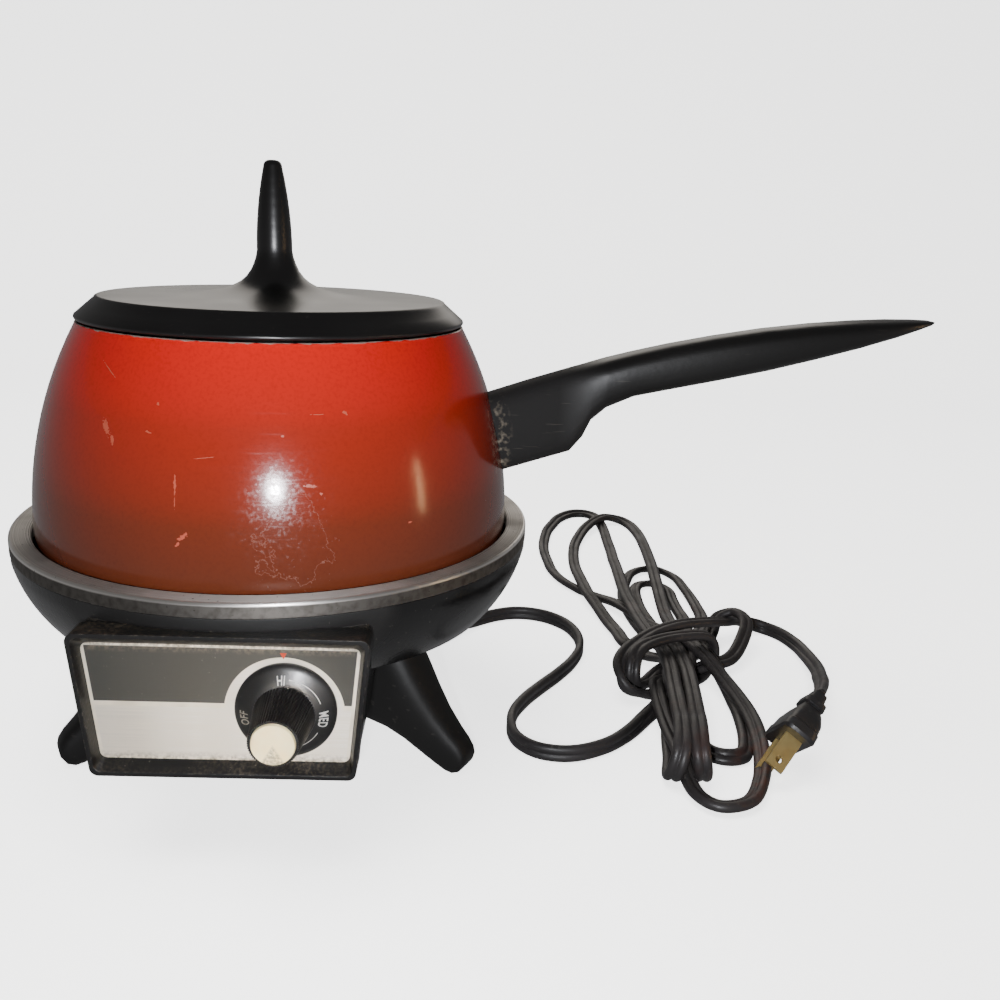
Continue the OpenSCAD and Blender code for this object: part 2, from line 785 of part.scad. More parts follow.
module bezel() {
    color("#211f1f")
        difference() {
            box_prism(box_front, box_back, 0, 0, 3);
            bevel();
            box_prism(box_front - bury, panel_front, frame_side, frame_end, 2.5);
            box_prism(panel_back, box_back + bury, 3.4, 3.4, 2);
            facing(knob_x, panel_back + bury, knob_z)
                cylinder(h = 10, r = bushing_r + 0.1);
            for (p = bezel_screw_at)
                driven(p[0], panel_front - bury, p[1])
                    cylinder(h = 10, r = screw_r + 0.2);
            for (p = bezel_screw_at)
                driven(p[0], panel_front - bury, p[1])
                    cylinder(h = bury + screw_head_h + 0.1, r = screw_head_r + 0.2);
        }
}

// The sloping inner faces of the frame, from its front edge down to the faceplate.
module bevel() {
    near = box_outline(1.5, 1.5, 2.5);
    far = box_outline(frame_side, frame_end, 2.5);
    loft([[for (p = far) [p[0], plate_front, p[1]]],
          [for (p = near) [p[0], box_front - 0.01, p[1]]]]);
}

module bezel_screws() {
    color("#8d8b86")
        for (p = bezel_screw_at)
            driven(p[0], panel_front + screw_head_h + 0.1, p[1])
                screw(panel_t - screw_head_h + bezel_boss_l - 3);
}

module faceplate() {
    color("#8b8981")
        difference() {
            box_prism(plate_front, panel_front, frame_side + 0.1, frame_end + 0.1, 2.4);
            facing(knob_x, panel_front + bury, knob_z)
                cylinder(h = 5, r = bushing_r + 0.2);
        }
}

// ---------- thermostat and knob ----------

module thermostat_case() {
    color("#c9c1ae")
        difference() {
            translate([knob_x - case_w / 2, panel_back, knob_z - case_w / 2])
                cube([case_w, case_d, case_w]);
            facing(knob_x, panel_back + 8, knob_z)
                cylinder(h = 20, r = bore_r);
        }
}

module thermostat_bushing() {
    color("#b5913f")
        difference() {
            facing(knob_x, panel_back, knob_z)
                cylinder(h = panel_t + faceplate_t + 3.2, r = bushing_r);
            facing(knob_x, panel_back + bury, knob_z)
                cylinder(h = 20, r = bore_r);
        }
}

module thermostat_nut() {
    color("#b9b5a8")
        facing(knob_x, plate_front, knob_z)
            difference() {
                cylinder(h = 2.4, r = 8, $fn = 6);
                translate([0, 0, -bury])
                    cylinder(h = 6, r = bushing_r + 0.02);
            }
}

module thermostat_shaft() {
    color("#b9b5a8")
        facing(knob_x, panel_back + 7.5, knob_z)
            cylinder(h = panel_back + 7.5 - (knob_front + 4), r = shaft_r);
}

module thermostat_tabs() {
    color("#b9b5a8")
        for (x = [-7, 7])
            translate([knob_x + x - 2.4, case_end, knob_z - 0.4])
                cube([4.8, 7, 0.8]);
}

// A sensing bulb under the hot plate, with its fine tube to the thermostat.
module sensor_bulb() {
    color("#a8763e")
        union() {
            translate([-24, -20, post_top_z - 3.1])
                rotate([0, 90, 0])
                    cylinder(h = 48, r = 3);
            loft(tube_rings(smooth([[22, -20, post_top_z - 3], [28, -22, post_top_z - 4],
                [31, -29, shield_z + 4], [34, -45, shield_z + 2.6], [34, -60, shield_z + 6],
                [33, -78, shield_z + 6.4], [31, case_end - 4, shield_z + 6.4],
                [30, case_end - 7, case_top + 3], [30, case_end - 7, case_top]], 4),
                0.9, 0.9, [1, 0.2, 0.1], 8));
        }
}

grip_back = knob_back - 4.2;

module knob() {
    grip_l = grip_back - knob_front - 0.8;
    color("#161515")
        difference() {
            union() {
                facing(knob_x, knob_back, knob_z)
                    rotate_extrude()
                        polygon([[0, 0], [dial_r, 0], [dial_r, 1], [dial_r - 0.5, 1.6],
                                 [grip_r + 0.6, 4.2], [0, 4.2]]);
                facing(knob_x, grip_back + 0.01, knob_z)
                    linear_extrude(height = grip_l, scale = grip_tip_r / grip_r)
                        polygon([for (i = [0:2 * flutes - 1])
                            (grip_r - (i % 2) * 0.5) * [cos(180 * i / flutes), sin(180 * i / flutes)]]);
            }
            facing(knob_x, knob_back + bury, knob_z)
                cylinder(h = 3.1 + bury, r = 8.6);
            facing(knob_x, knob_back + bury, knob_z)
                cylinder(h = knob_back - knob_front - 4 + bury, r = shaft_r + 0.02);
            facing(knob_x, knob_front + 1.6, knob_z)
                cylinder(h = 3, r = grip_tip_r - 1);
        }
}

module knob_cap() {
    color("#cfccc4")
        facing(knob_x, knob_front + 1.6, knob_z)
            cylinder(h = 1.6, r1 = grip_tip_r - 1.05, r2 = grip_tip_r - 1.35);
}

// ---------- wiring ----------

module wire(route, shade) {
    color(shade)
        loft(tube_rings(smooth(route, 3), wire_r, wire_r, [1, 0.15, 0.05], 8));
}

lead_z = bowl_floor_z + 2.4;
tab_top = knob_z + 0.38 + wire_r;
tab_low = element_z - 0.38 - wire_r;

// A point just inside the gland, offset sideways.
function at_gland(side) =
    (gland_inner - 0.4) * gland_dir + side * [-gland_dir[1], gland_dir[0], 0] + [0, 0, gland_z];

module lead_live() {
    wire([at_gland(-1.3), [16.5, 16, 42], [14, 5, 52], [wire_x + 1.4, 0.5, bowl_z + 1],
          [wire_x + 1.2, -1, bowl_floor_z + 1.8], [wire_x, -14, lead_z], [wire_x, -44, lead_z],
          [13, -68, lead_z], [knob_x - 7, -74, knob_z + 6], [knob_x - 7, case_end + 4, tab_top]], "#2b2a2a");
}

module lead_neutral() {
    wire([at_gland(1.3), [12.5, 17, 42], [9.6, 6, 52], [wire_x - 2.6, 0.6, bowl_z + 1],
          [wire_x - 3, -0.4, bowl_floor_z + 2.2], [0, -9, lead_z], [-9, -18, lead_z], [-11, -44, lead_z],
          [-12, -64, lead_z], [-12, -80, lead_z + 1], [-element_gap, -87, lead_z + 5],
          [-element_gap, element_end - 5, tab_low]], "#e4e0d6");
}

module lead_load() {
    wire([[knob_x + 7, case_end + 4, tab_top], [knob_x + 6, case_end + 5, knob_z + 7],
          [20, -78, knob_z + 13], [14, -86, knob_z + 16],
          [element_gap, element_end - 5, tab_low]], "#2b2a2a");
}

// ---------- cord and plug ----------

module strain_relief() {
    color("#1d1c1c")
        union() {
            gland_bar(gland_inner, gland_seat, gland_r - 0.1, gland_r - 0.1);
            gland_bar(gland_seat, gland_seat + 3, 8.4, 8.4);
            gland_bar(gland_seat, hub_r + relief_l, 6.6, 4.4);
        }
}

module cord_tube(route) {
    color("#262525")
        loft(tube_rings(smooth(route, 2), cord_t / 2, cord_w / 2, [0, 0, 1], 10));
}

module cord_lead() {
    cord_tube(concat([(hub_r + relief_l) * gland_dir + [0, 0, gland_z]], lead_route));
}

module cord_tail() {
    cord_tube(tail_route);
}

module cord_hank() {
    color("#2a2929")
        linear_extrude(height = hank_h)
            for (i = [0:len(hank_spine) - 2])
                hull() {
                    translate([hank_spine[i][0], hank_spine[i][1]])
                        circle(r = hank_spine[i][2], $fn = 32);
                    translate([hank_spine[i + 1][0], hank_spine[i + 1][1]])
                        circle(r = hank_spine[i + 1][2], $fn = 32);
                }
}

// Places a shape drawn along +X from the end of the cord. The plug leans on its blades.
module at_plug() {
    translate(tail_route[len(tail_route) - 1])
        rotate(plug_turn)
            children();
}

module plug_body() {
    stations = [[0, 2.9, 4.2], [4, 3.4, 5], [4.6, 4.6, 6.2], [7.4, 4.8, 6.6], [8, 3.8, 5.6],
                [11, 5, 8.4], [16, 6.4, 11.8], [20, 6.8, 12.6], [20.6, 7.2, 13.2],
                [plug_l - 1.4, 7.4, 13.4], [plug_l, 6.6, 12.6]];
    color("#1a1919")
        at_plug()
            loft([for (s = stations)
                let (w = s[1], h = s[2])
                [for (p = rounded([[-w, -h], [w, -h], [w, h], [-w, h]], w * 0.5, 3)) [s[0], p[0], p[1]]]]);
}

module plug_blades() {
    color("#b08b45")
        at_plug()
            for (b = [[-1, blade_w], [1, wide_blade_w]])
                translate([plug_l, 0, b[0] * blade_pitch / 2])
                    difference() {
                        translate([0, -b[1] / 2, -blade_t / 2])
                            cube([blade_l, b[1], blade_t]);
                        translate([blade_l - 4.2, 0, 0])
                            cylinder(h = 6, r = 1.5, center = true);
                    }
}

// ---------- assembly ----------

lid();
pot_shell();
handle_bracket();
pot_handle();
handle_screw();
trim_ring();
base_shell();
hot_plate();
heating_element();
element_tabs();
element_straps();
strap_screws();
plate_posts();
post_screws();
heat_shield();
stand();
stand_screws();
bottom_cover();
cover_screw();
bezel();
bezel_screws();
faceplate();
thermostat_case();
thermostat_bushing();
thermostat_nut();
thermostat_shaft();
thermostat_tabs();
sensor_bulb();
knob();
knob_cap();
lead_live();
lead_neutral();
lead_load();
strain_relief();
cord_lead();
cord_hank();
cord_tail();
plug_body();
plug_blades();
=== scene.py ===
import math

import bpy
from mathutils import Matrix, Vector


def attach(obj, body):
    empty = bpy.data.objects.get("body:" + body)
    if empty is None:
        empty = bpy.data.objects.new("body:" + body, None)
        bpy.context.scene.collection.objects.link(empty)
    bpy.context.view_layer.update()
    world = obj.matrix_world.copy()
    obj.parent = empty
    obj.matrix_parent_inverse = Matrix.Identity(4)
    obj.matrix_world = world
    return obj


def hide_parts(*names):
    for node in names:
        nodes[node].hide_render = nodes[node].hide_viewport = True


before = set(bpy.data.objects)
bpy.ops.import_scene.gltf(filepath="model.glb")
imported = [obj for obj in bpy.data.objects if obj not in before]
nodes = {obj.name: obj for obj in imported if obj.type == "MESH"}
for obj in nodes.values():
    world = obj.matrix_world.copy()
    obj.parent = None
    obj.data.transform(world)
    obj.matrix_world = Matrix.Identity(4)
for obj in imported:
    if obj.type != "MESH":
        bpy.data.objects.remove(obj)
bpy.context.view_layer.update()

# ---------- camera ----------
# A moderately wide lens stands in front of the control box, a little above the lid,
# tipped down at the pot and turned slightly. A scratch program fitted its place and turns.
eye = Vector((0.07895, -0.39794, 0.21797))
yaw, pitch, roll = (math.radians(angle) for angle in (2.058, 15.862, 2.317))
ahead = Vector((math.sin(yaw) * math.cos(pitch), math.cos(yaw) * math.cos(pitch), -math.sin(pitch)))
level = Vector((math.cos(yaw), -math.sin(yaw), 0))
rise = level.cross(ahead)
right = level * math.cos(roll) + rise * math.sin(roll)
up = rise * math.cos(roll) - level * math.sin(roll)
lens = bpy.data.cameras.new("camera")
lens.lens, lens.sensor_width, lens.clip_start = 34.84, 36, 0.01
camera = bpy.data.objects.new("camera", lens)
camera.matrix_world = Matrix.Translation(eye) @ Matrix((right, up, -ahead)).transposed().to_4x4()
bpy.context.scene.collection.objects.link(camera)
bpy.context.scene.camera = camera

# ---------- cord ----------
# The lead is two stranded wires side by side in one flat jacket of black PVC, 7.6 by 4.2 mm
# with a groove between them. It is folded into a hank by hand and tied with two turns of
# its own end, which is tucked through a ring of itself and runs on to the plug.
# The way the plug's width points, to which the cord's own width turns before it.
plug_width_way = Vector((0.093, -0.753, 0.652))
# Each point is the place of the cord's middle in mm and its turn in degrees: 0 lies flat
# and 90 stands on edge. The folds were laid by hand, then a scratch program pushed them
# apart, eased their bends and spaced the points, so this list is that program's output.
route = [
    (45, 53.6, 38, 0), (55.5, 66, 32.5, 10), (63.5, 76, 21.9, 35), (72, 87, 11.7, 55),
    (81.5, 99.5, 5.7, 75), (93, 112, 3.7, 90), (108.5, 119, 3.6, 90), (124, 116, 3.8, 90),
    (136, 104.5, 3.8, 90), (141.5, 88.5, 3.8, 90), (141, 71.5, 3.8, 90), (135.5, 55.5, 3.8, 90),
    (127, 40.5, 3.8, 90), (117.5, 26.5, 3.8, 90), (108.5, 12, 3.8, 90), (102.5, -3.5, 3.8, 90),
    (103, -20.5, 3.8, 90), (112, -31.5, 3.8, 90), (126.5, -34, 3.8, 90), (142, -27, 3.7, 90),
    (154, -15, 3.5, 75), (163.5, -1, 2.9, 50), (172.5, 13.5, 3.1, 15), (180.5, 28.5, 5.7, 5),
    (184, 45, 5.8, 0), (193.5, 57, 4.3, 0), (203.5, 70.5, 6.3, 0), (207.5, 87, 6.6, 0),
    (213, 103, 5.1, 0), (217, 119.5, 3.8, 5), (218, 136.5, 3, 15), (218, 153.5, 2.8, 20),
    (217, 170.5, 2.8, 25), (215, 187.5, 2.7, 25), (207, 201, 2.4, 25), (196.5, 202, 2.4, 25),
    (187, 192.5, 2.6, 25), (181, 176.5, 2.6, 20), (177.5, 160, 2.4, 15), (176, 143, 2.3, 5),
    (176.5, 126, 2.3, 0), (178, 109, 2.8, 0), (180, 92, 4.2, 0), (182.5, 75.5, 6.2, 0),
    (187, 59, 8, 0), (190.5, 42.5, 7, 0), (190.5, 26, 3.9, 0), (188.5, 9, 2.3, 0),
    (186.5, -7.5, 2.1, 10), (185, -24.5, 2.7, 20), (191, -33, 3.4, 35), (200.5, -31.5, 3.3, 35),
    (205, -20, 2.7, 35), (208, -3.5, 2.4, 25), (209.5, 13.5, 2.3, 15), (209, 30.5, 4.6, 5),
    (206, 46.5, 9.4, 0), (203, 63, 10.5, 0), (200, 79, 10.1, 0), (187.5, 89.5, 8.3, 0),
    (179.5, 104.5, 7.4, 0), (175, 120.5, 6.5, 0), (168, 136, 5.3, 5), (158.5, 150, 3.3, 10),
    (148.5, 164, 2.4, 20), (140.5, 179, 2.6, 25), (136, 195.5, 2.8, 25), (134.5, 212.5, 2.8, 25),
    (133.5, 229.5, 2.8, 25), (134, 246.5, 2.8, 25), (136, 263, 2.8, 25), (139, 280, 2.8, 25),
    (144, 296, 2.8, 25), (150, 312, 2.8, 25), (160.5, 325.5, 2.8, 25), (171.5, 327, 2.8, 20),
    (179, 318.5, 2.7, 15), (181, 302, 2.6, 10), (181.5, 285, 2.5, 5), (181, 268, 2.6, 0),
    (180.5, 251, 2.8, 0), (180, 234, 3.2, 0), (179, 217, 3.8, 0), (178.5, 200, 4.8, 0),
    (177.5, 183, 6.1, 0), (176.5, 166, 7.5, 0), (175.5, 149, 9, 0), (175, 132, 10.3, 0),
    (175.5, 115, 11.1, 0), (176.5, 98, 11.1, 0), (178.5, 81.5, 10.9, 0), (180.5, 64.5, 11.7, 0),
    (181, 47.5, 14, 0), (180.5, 30.5, 14.5, 0), (179, 13.5, 13.6, 0), (177, -3, 14.7, 0),
    (174.5, -20, 17.5, 0), (172, -36, 20.9, 0), (169, -52, 18.6, 0), (166.5, -55, 9.5, 0),
    (166.5, -47.5, 2.8, 0), (169.5, -33.5, 2, 0), (172, -16.5, 2, 0), (175.5, 0, 2.1, 0),
    (182, 15.5, 3.9, 0), (188, 30.5, 8.9, 0), (193.5, 46.5, 11.2, 0), (195.5, 63, 8.8, 0),
    (198.5, 79.5, 5.8, 0), (203, 96, 5.4, 0), (205, 113, 4.9, 0), (205, 130, 3.8, 10),
    (205.5, 147, 2.9, 15), (206, 164, 2.6, 20), (199.5, 175, 2.6, 25), (190, 173.5, 2.6, 20),
    (185, 163, 2.5, 15), (183.5, 146, 2.3, 5), (183.5, 129, 2.6, 0), (185, 112, 3.2, 0),
    (187, 95, 3.6, 0), (189, 78.5, 6.4, 0), (189.5, 62, 11.4, 0), (188.5, 45.5, 14.2, 0),
    (188.5, 28.5, 13.7, 0), (187, 11.5, 13.2, 0), (184.5, -5, 14.9, 0), (181.5, -21.5, 17.9, 0),
    (178.5, -38, 21.4, 0), (176.5, -53, 18, 0), (178, -54.5, 8.7, 0), (179, -47, 2.6, 0),
    (178, -32, 2.2, 0), (179, -15.5, 3.3, 0), (181, 1.5, 5.5, 0), (180.5, 18, 8.8, 0),
    (182.5, 35, 10.6, 0), (182.5, 51.5, 8.5, 0), (175, 65, 4.3, 0), (166.5, 79, 4.8, 0),
    (164.5, 96, 3.7, 0), (161.5, 112.5, 3.1, 0), (158, 129.5, 4.4, 5), (154, 146, 6.4, 5),
    (152.5, 162.5, 6.5, 5), (152, 179.5, 5.1, 5), (151.5, 196.5, 4, 5), (152, 213.5, 3.4, 10),
    (153.5, 230.5, 3, 10), (156, 247.5, 3.2, 15), (160.5, 264, 4, 15), (166.5, 279.5, 5.6, 10),
    (175, 294.5, 7, 5), (185, 307.5, 6.3, 10), (196.5, 309, 4, 20), (203, 300, 2.8, 20),
    (205.5, 283.5, 2.7, 20), (206, 266.5, 3, 15), (205.5, 249.5, 3.4, 10), (204.5, 232.5, 4.2, 5),
    (203, 215.5, 5.6, 5), (201.5, 198.5, 6.9, 0), (200, 182, 7.5, 0), (198.5, 165, 7.7, 0),
    (197, 148, 7.7, 0), (195.5, 131, 7.9, 0), (194, 114, 8.8, 0), (192.5, 97, 11.2, 0),
    (192.5, 80.5, 13.1, 0), (196.5, 64, 13.5, 0), (201, 47.5, 13.4, 0), (206.5, 32, 9.3, 5),
    (210.5, 15.5, 6.7, 15), (212, -1.5, 5.9, 20), (211, -18.5, 5, 30), (208, -35, 4.2, 30),
    (203, -51, 3.7, 30), (194.5, -66, 3.4, 25), (182, -70, 3.3, 20), (174.5, -62.5, 3.4, 20),
    (172.5, -49, 4.3, 20), (172.5, -32, 5.8, 15), (171.5, -15, 6.4, 5), (171.5, 2, 7.2, 0),
    (172.5, 19, 7.4, 0), (176.5, 35, 4.5, 0), (188, 44.5, 2.2, 0), (202.5, 50, 6.1, 0),
    (217, 57.5, 6.8, 20), (226.5, 71, 10.5, 20), (232.5, 85.5, 16.1, 20), (228.5, 96, 17.4, 10),
    (219.5, 96.5, 13.8, 0), (215, 88.5, 8.1, 0), (207, 75.5, 2.9, 0), (194, 65, 2, 0),
    (181.5, 53.5, 2.1, 0), (172, 39.5, 2.1, 0), (163, 26.5, 6.3, 25), (161.5, 26.5, 15.8, 20),
    (165, 34, 21.1, 10), (173.5, 44.5, 20.9, 0), (188.5, 52.5, 21, 0), (204.5, 57, 19.3, 0),
    (209, 58.5, 10.1, 0), (205, 55, 2.8, 0), (199, 45, 2, 0), (185.5, 34.5, 2.1, 0),
    (171.5, 25, 2.2, 5), (158, 18.5, 8.5, 30), (154.5, 25, 15.5, 30), (158.5, 35, 18.8, 20),
    (168, 49, 19.5, 5), (179.5, 62, 19.6, 0), (193, 71.5, 19.5, 0), (208, 79.5, 17.9, 0),
    (221.5, 89.5, 14.2, 0), (232.5, 101.5, 9.7, 10), (246.5, 107.5, 4.6, 75), (255.5, 100, 3.4, 80),
    (260.5, 85.5, 3.9, 75), (260.5, 68.5, 5.7, 65), (258.5, 52, 8.5, 55), (255, 35.5, 12.2, 50),
    (250, 20, 16.4, 40), (245, 4.5, 21, 35), (239, -11, 25.6, 30), (232, -26, 29.5, 30),
]


def smooth_line(points, steps):
    """The points of a smooth curve through the given ones, each with its other values."""
    line = []
    for i in range(len(points) - 1):
        four = [points[min(max(j, 0), len(points) - 1)] for j in (i - 1, i, i + 1, i + 2)]
        for t in (s / steps for s in range(steps)):
            line.append([(2 * b + (c - a) * t + (2 * a - 5 * b + 4 * c - d) * t * t
                          + (3 * b - a - 3 * c + d) * t ** 3) / 2 for a, b, c, d in zip(*four)])
    return line + [list(points[-1])]


def jacket_outline(girth):
    """The flat cord's section in mm: two round lobes joined by a thinner web. A girth of 1
    is its size where it is squeezed in the sleeve and the plug."""
    lobe_place, lobe_place_squared, web_half_squared = 1.45, 2.1, 1.2
    outline = []
    for i in range(24):
        across, over = math.cos(math.radians(15 * i)), math.sin(math.radians(15 * i))
        reach = lobe_place * abs(across) + math.sqrt(lobe_place_squared * across * across
                                                     + web_half_squared)
        outline.append((girth * reach * across, girth * reach * over))
    return outline


def ringed_mesh(name, rings):
    """A closed tube through rings of points in metres, with a cap on each end."""
    count = len(rings[0])
    faces = [(r * count + i, r * count + (i + 1) % count,
              (r + 1) * count + (i + 1) % count, (r + 1) * count + i)
             for r in range(len(rings) - 1) for i in range(count)]
    faces.append(tuple(reversed(range(count))))
    faces.append(tuple(range((len(rings) - 1) * count, len(rings) * count)))
    mesh = bpy.data.meshes.new(name)
    mesh.from_pydata([p for ring in rings for p in ring], [], faces)
    mesh.shade_smooth()
    return mesh


def new_piece(name, mesh, finish, body):
    """An object of this mesh and finish that moves with a body."""
    made = bpy.data.objects.new(name, mesh)
    mesh.materials.append(finish)
    bpy.context.scene.collection.objects.link(made)
    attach(made, body)
    return made


def linear(hex_colour):
    """An sRGB colour such as "a3301c" as linear RGBA."""
    parts = [int(hex_colour[i:i + 2], 16) / 255 for i in (0, 2, 4)]
    return [c / 12.92 if c <= 0.04045 else ((c + 0.055) / 1.055) ** 2.4 for c in parts] + [1]


def add(tree, kind, *values, named=None, **settings):
    """Adds a node and gives its first output. The values go to its inputs in order and the
    named ones to inputs of those names: numbers, hex colours or other nodes' outputs."""
    made = tree.nodes.new("ShaderNode" + kind)
    for key, value in settings.items():
        setattr(made, key, value)
    sockets = [s for s in made.inputs if s.enabled]
    pairs = [*zip(sockets, values), *((made.inputs[k], v) for k, v in (named or {}).items())]
    for socket, value in pairs:
        if isinstance(value, bpy.types.NodeSocket):
            tree.links.new(value, socket)
        elif value is not None:
            socket.default_value = linear(value) if isinstance(value, str) else value
    return next((s for s in made.outputs if s.enabled), None)


def new_finish(name):
    """A new material and its empty node tree."""
    made = bpy.data.materials.new(name)
    made.use_nodes = True
    made.node_tree.nodes.clear()
    return made, made.node_tree


def coat(tree, bump=None, depth=0.0, edge=0.0, **inputs):
    """Ends a finish in its shader. bump is a height and depth its size in mm, and edge the
    radius in mm to which the light rounds the piece's corners."""
    normal = add(tree, "Bevel", edge / 1000, samples=4) if edge else None
    if bump:
        normal = add(tree, "Bump", 1.0, depth / 1000, named={"Height": bump, "Normal": normal})
    named = {key.replace("_", " "): value for key, value in inputs.items()}
    shader = add(tree, "BsdfPrincipled", named={**named, "Normal": normal})
    add(tree, "OutputMaterial", shader)


def cloud(tree, size, low=0.3, high=0.7, stretch=(1, 1, 1), shift=0.0, detail=2.0):
    """Blobs about size mm across, from 0 where the noise is low to 1 where it is high. A
    stretch below 1 draws them out along that axis."""
    place = add(tree, "Mapping", add(tree, "TexCoord").node.outputs["Object"],
                (shift, shift, shift), None, [500 * s / size for s in stretch])
    noise = add(tree, "TexNoise", place, 1.0, detail)
    return add(tree, "MapRange", noise, low, high)


def pvc(name, dark, pale, smear, low, high):
    """Soft black PVC: matt, handled smooth in places, with dust and faint brown smears."""
    made, tree = new_finish(name)
    worn = add(tree, "Mix", cloud(tree, 16), dark, pale, data_type="RGBA")
    patches = add(tree, "Math", cloud(tree, 45, 0.56, 0.72, shift=3), cloud(tree, 2.5, 0.4, 0.65),
                  operation="MULTIPLY")
    smeared = add(tree, "Mix", patches, worn, smear, data_type="RGBA")
    dusty = add(tree, "Mix", cloud(tree, 1.2, 0.62, 0.9), smeared, "5a5651", data_type="RGBA")
    gloss = add(tree, "MapRange", cloud(tree, 7, shift=1), 0, 1, low, high)
    coat(tree, cloud(tree, 0.9), 0.04, 0.25, Base_Color=dusty, Roughness=gloss, IOR=1.53)
    return made


cord_pvc = pvc("extruded_black_pvc", "2a2828", "413e3e", "52352e", 0.38, 0.54)
line = smooth_line(route, 6)
middle = [Vector(p[:3]) / 1000 for p in line]
last_ring = len(middle) - 1
swelling, squeezed_points = 0.17, 12
turn_starts, turn_points = 29, 26
rings, across = [], Vector((0, 1, 0))
for i, point in enumerate(middle):
    along = (middle[min(i + 1, last_ring)] - middle[max(i - 1, 0)]).normalized()
    across = (across - along * across.dot(along)).normalized()
    # The jacket follows its bends but is drawn to lie level, then given its own turn.
    flat = along.cross(Vector((0, 0, 1)))
    flat *= math.copysign(0.6 * flat.length, flat.dot(across))
    across = (across + flat).normalized()
    turn = math.radians(line[i][3])
    width_way = across * math.cos(turn) + along.cross(across) * math.sin(turn)
    near_plug = min(1, max(0, (i - last_ring + turn_starts) / turn_points))
    aim = plug_width_way * math.copysign(1, plug_width_way.dot(width_way))
    width_way = width_way.lerp(aim, near_plug)
    width_way = (width_way - along * width_way.dot(along)).normalized()
    thin_way = along.cross(width_way)
    girth = 1 + swelling * min(1, i / squeezed_points, (last_ring - i) / squeezed_points)
    ring = [point + (width_way * a + thin_way * b) / 1000 for a, b in jacket_outline(girth)]
    # A ring that dips under the table is lifted onto it.
    sunk = min(0, min(corner.z for corner in ring))
    rings.append([corner - Vector((0, 0, sunk)) for corner in ring])
cord = new_piece("cord", ringed_mesh("cord", rings), cord_pvc, "base")
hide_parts("cord_lead", "cord_hank", "cord_tail")

# ---------- plug and strain relief ----------
# The plug and the tapered sleeve at the base are moulded in PVC onto the cord. The two
# blades are folded brass strip, one wider than the other, each with a hole near its tip.


def dress(finish, *names):
    """Gives CAD pieces a finish and shades them smooth, with their sharp corners kept. Only
    the shading changes: no corner of a piece moves."""
    for name in names:
        piece = nodes[name]
        for place in piece.material_slots:
            place.material = finish
        piece.modifiers.new("smooth_facets", "NODES").node_group = smooth_facets


sharp_from = math.radians(33)
smooth_facets = bpy.data.node_groups.new("smooth_facets", "GeometryNodeTree")
for way in ("INPUT", "OUTPUT"):
    smooth_facets.interface.new_socket("Geometry", in_out=way, socket_type="NodeSocketGeometry")
steps = [smooth_facets.nodes.new(kind) for kind in (
    "NodeGroupInput", "GeometryNodeMergeByDistance", "GeometryNodeRemoveAttribute",
    "GeometryNodeSetShadeSmooth", "GeometryNodeSetShadeSmooth", "NodeGroupOutput")]
steps[1].inputs["Distance"].default_value = 1e-6
steps[2].inputs["Name"].default_value = "custom_normal"
steps[4].domain = "EDGE"
for first, second in zip(steps, steps[1:]):
    smooth_facets.links.new(first.outputs[0], second.inputs[0])
corner = smooth_facets.nodes.new("GeometryNodeInputMeshEdgeAngle")
gentle = smooth_facets.nodes.new("FunctionNodeCompare")
gentle.operation = "LESS_THAN"
gentle.inputs[1].default_value = sharp_from
smooth_facets.links.new(corner.outputs[0], gentle.inputs[0])
smooth_facets.links.new(gentle.outputs[0], steps[4].inputs["Shade Smooth"])

plug_pvc = pvc("moulded_black_pvc", "252526", "343436", "34312f", 0.3, 0.46)
dress(plug_pvc, "plug_body", "strain_relief")

# Brass strip: warm yellow metal, rubbed bright by sockets and tarnished brown between.
brass, tree = new_finish("brass_strip")
tarnish = cloud(tree, 5, 0.4, 0.75)
yellow = add(tree, "Mix", tarnish, "f0d692", "c2a468", data_type="RGBA")
rubbed = cloud(tree, 0.5, stretch=(1, 0.12, 1))
coat(tree, rubbed, 0.02, 0.15, Base_Color=yellow, Metallic=0.75,
     Roughness=add(tree, "MapRange", tarnish, 0, 1, 0.34, 0.55))
dress(brass, "plug_blades", "sensor_bulb", "thermostat_bushing")

# ---------- stand ----------
# One compression moulding of black phenolic makes the hub and its three hollow legs. A
# round cover closes the hub from below, held by one screw, and three more hold the bowl.
# Moulded phenolic: a deep black with a soft satin shine and a few fine grey scuffs.
phenolic, tree = new_finish("moulded_black_phenolic")
handled = cloud(tree, 22)
black = add(tree, "Mix", handled, "0a0909", "131211", data_type="RGBA")
scuffs = cloud(tree, 0.8, 0.66, 0.8, stretch=(0.1, 1, 0.5), shift=5)
scuffed = add(tree, "Mix", scuffs, black, "3b3835", data_type="RGBA")
coat(tree, cloud(tree, 1.4), 0.02, 0.5, Base_Color=scuffed, IOR=1.45,
     Roughness=add(tree, "MapRange", handled, 0, 1, 0.46, 0.6))
dress(phenolic, "stand", "bottom_cover")

# Zinc-plated steel: grey, lightly mottled metal with a dull shine.
zinc, tree = new_finish("zinc_plated_steel")
mottle = cloud(tree, 2.5)
coat(tree, cloud(tree, 0.6), 0.02, 0.2, Metallic=1.0,
     Base_Color=add(tree, "Mix", mottle, "b9b6ae", "8c8981", data_type="RGBA"),
     Roughness=add(tree, "MapRange", mottle, 0, 1, 0.3, 0.48))
dress(zinc, "stand_screws", "cover_screw", "bezel_screws", "post_screws", "strap_screws",
      "handle_screw", "handle_bracket", "thermostat_nut", "thermostat_shaft", "thermostat_tabs",
      "element_tabs")

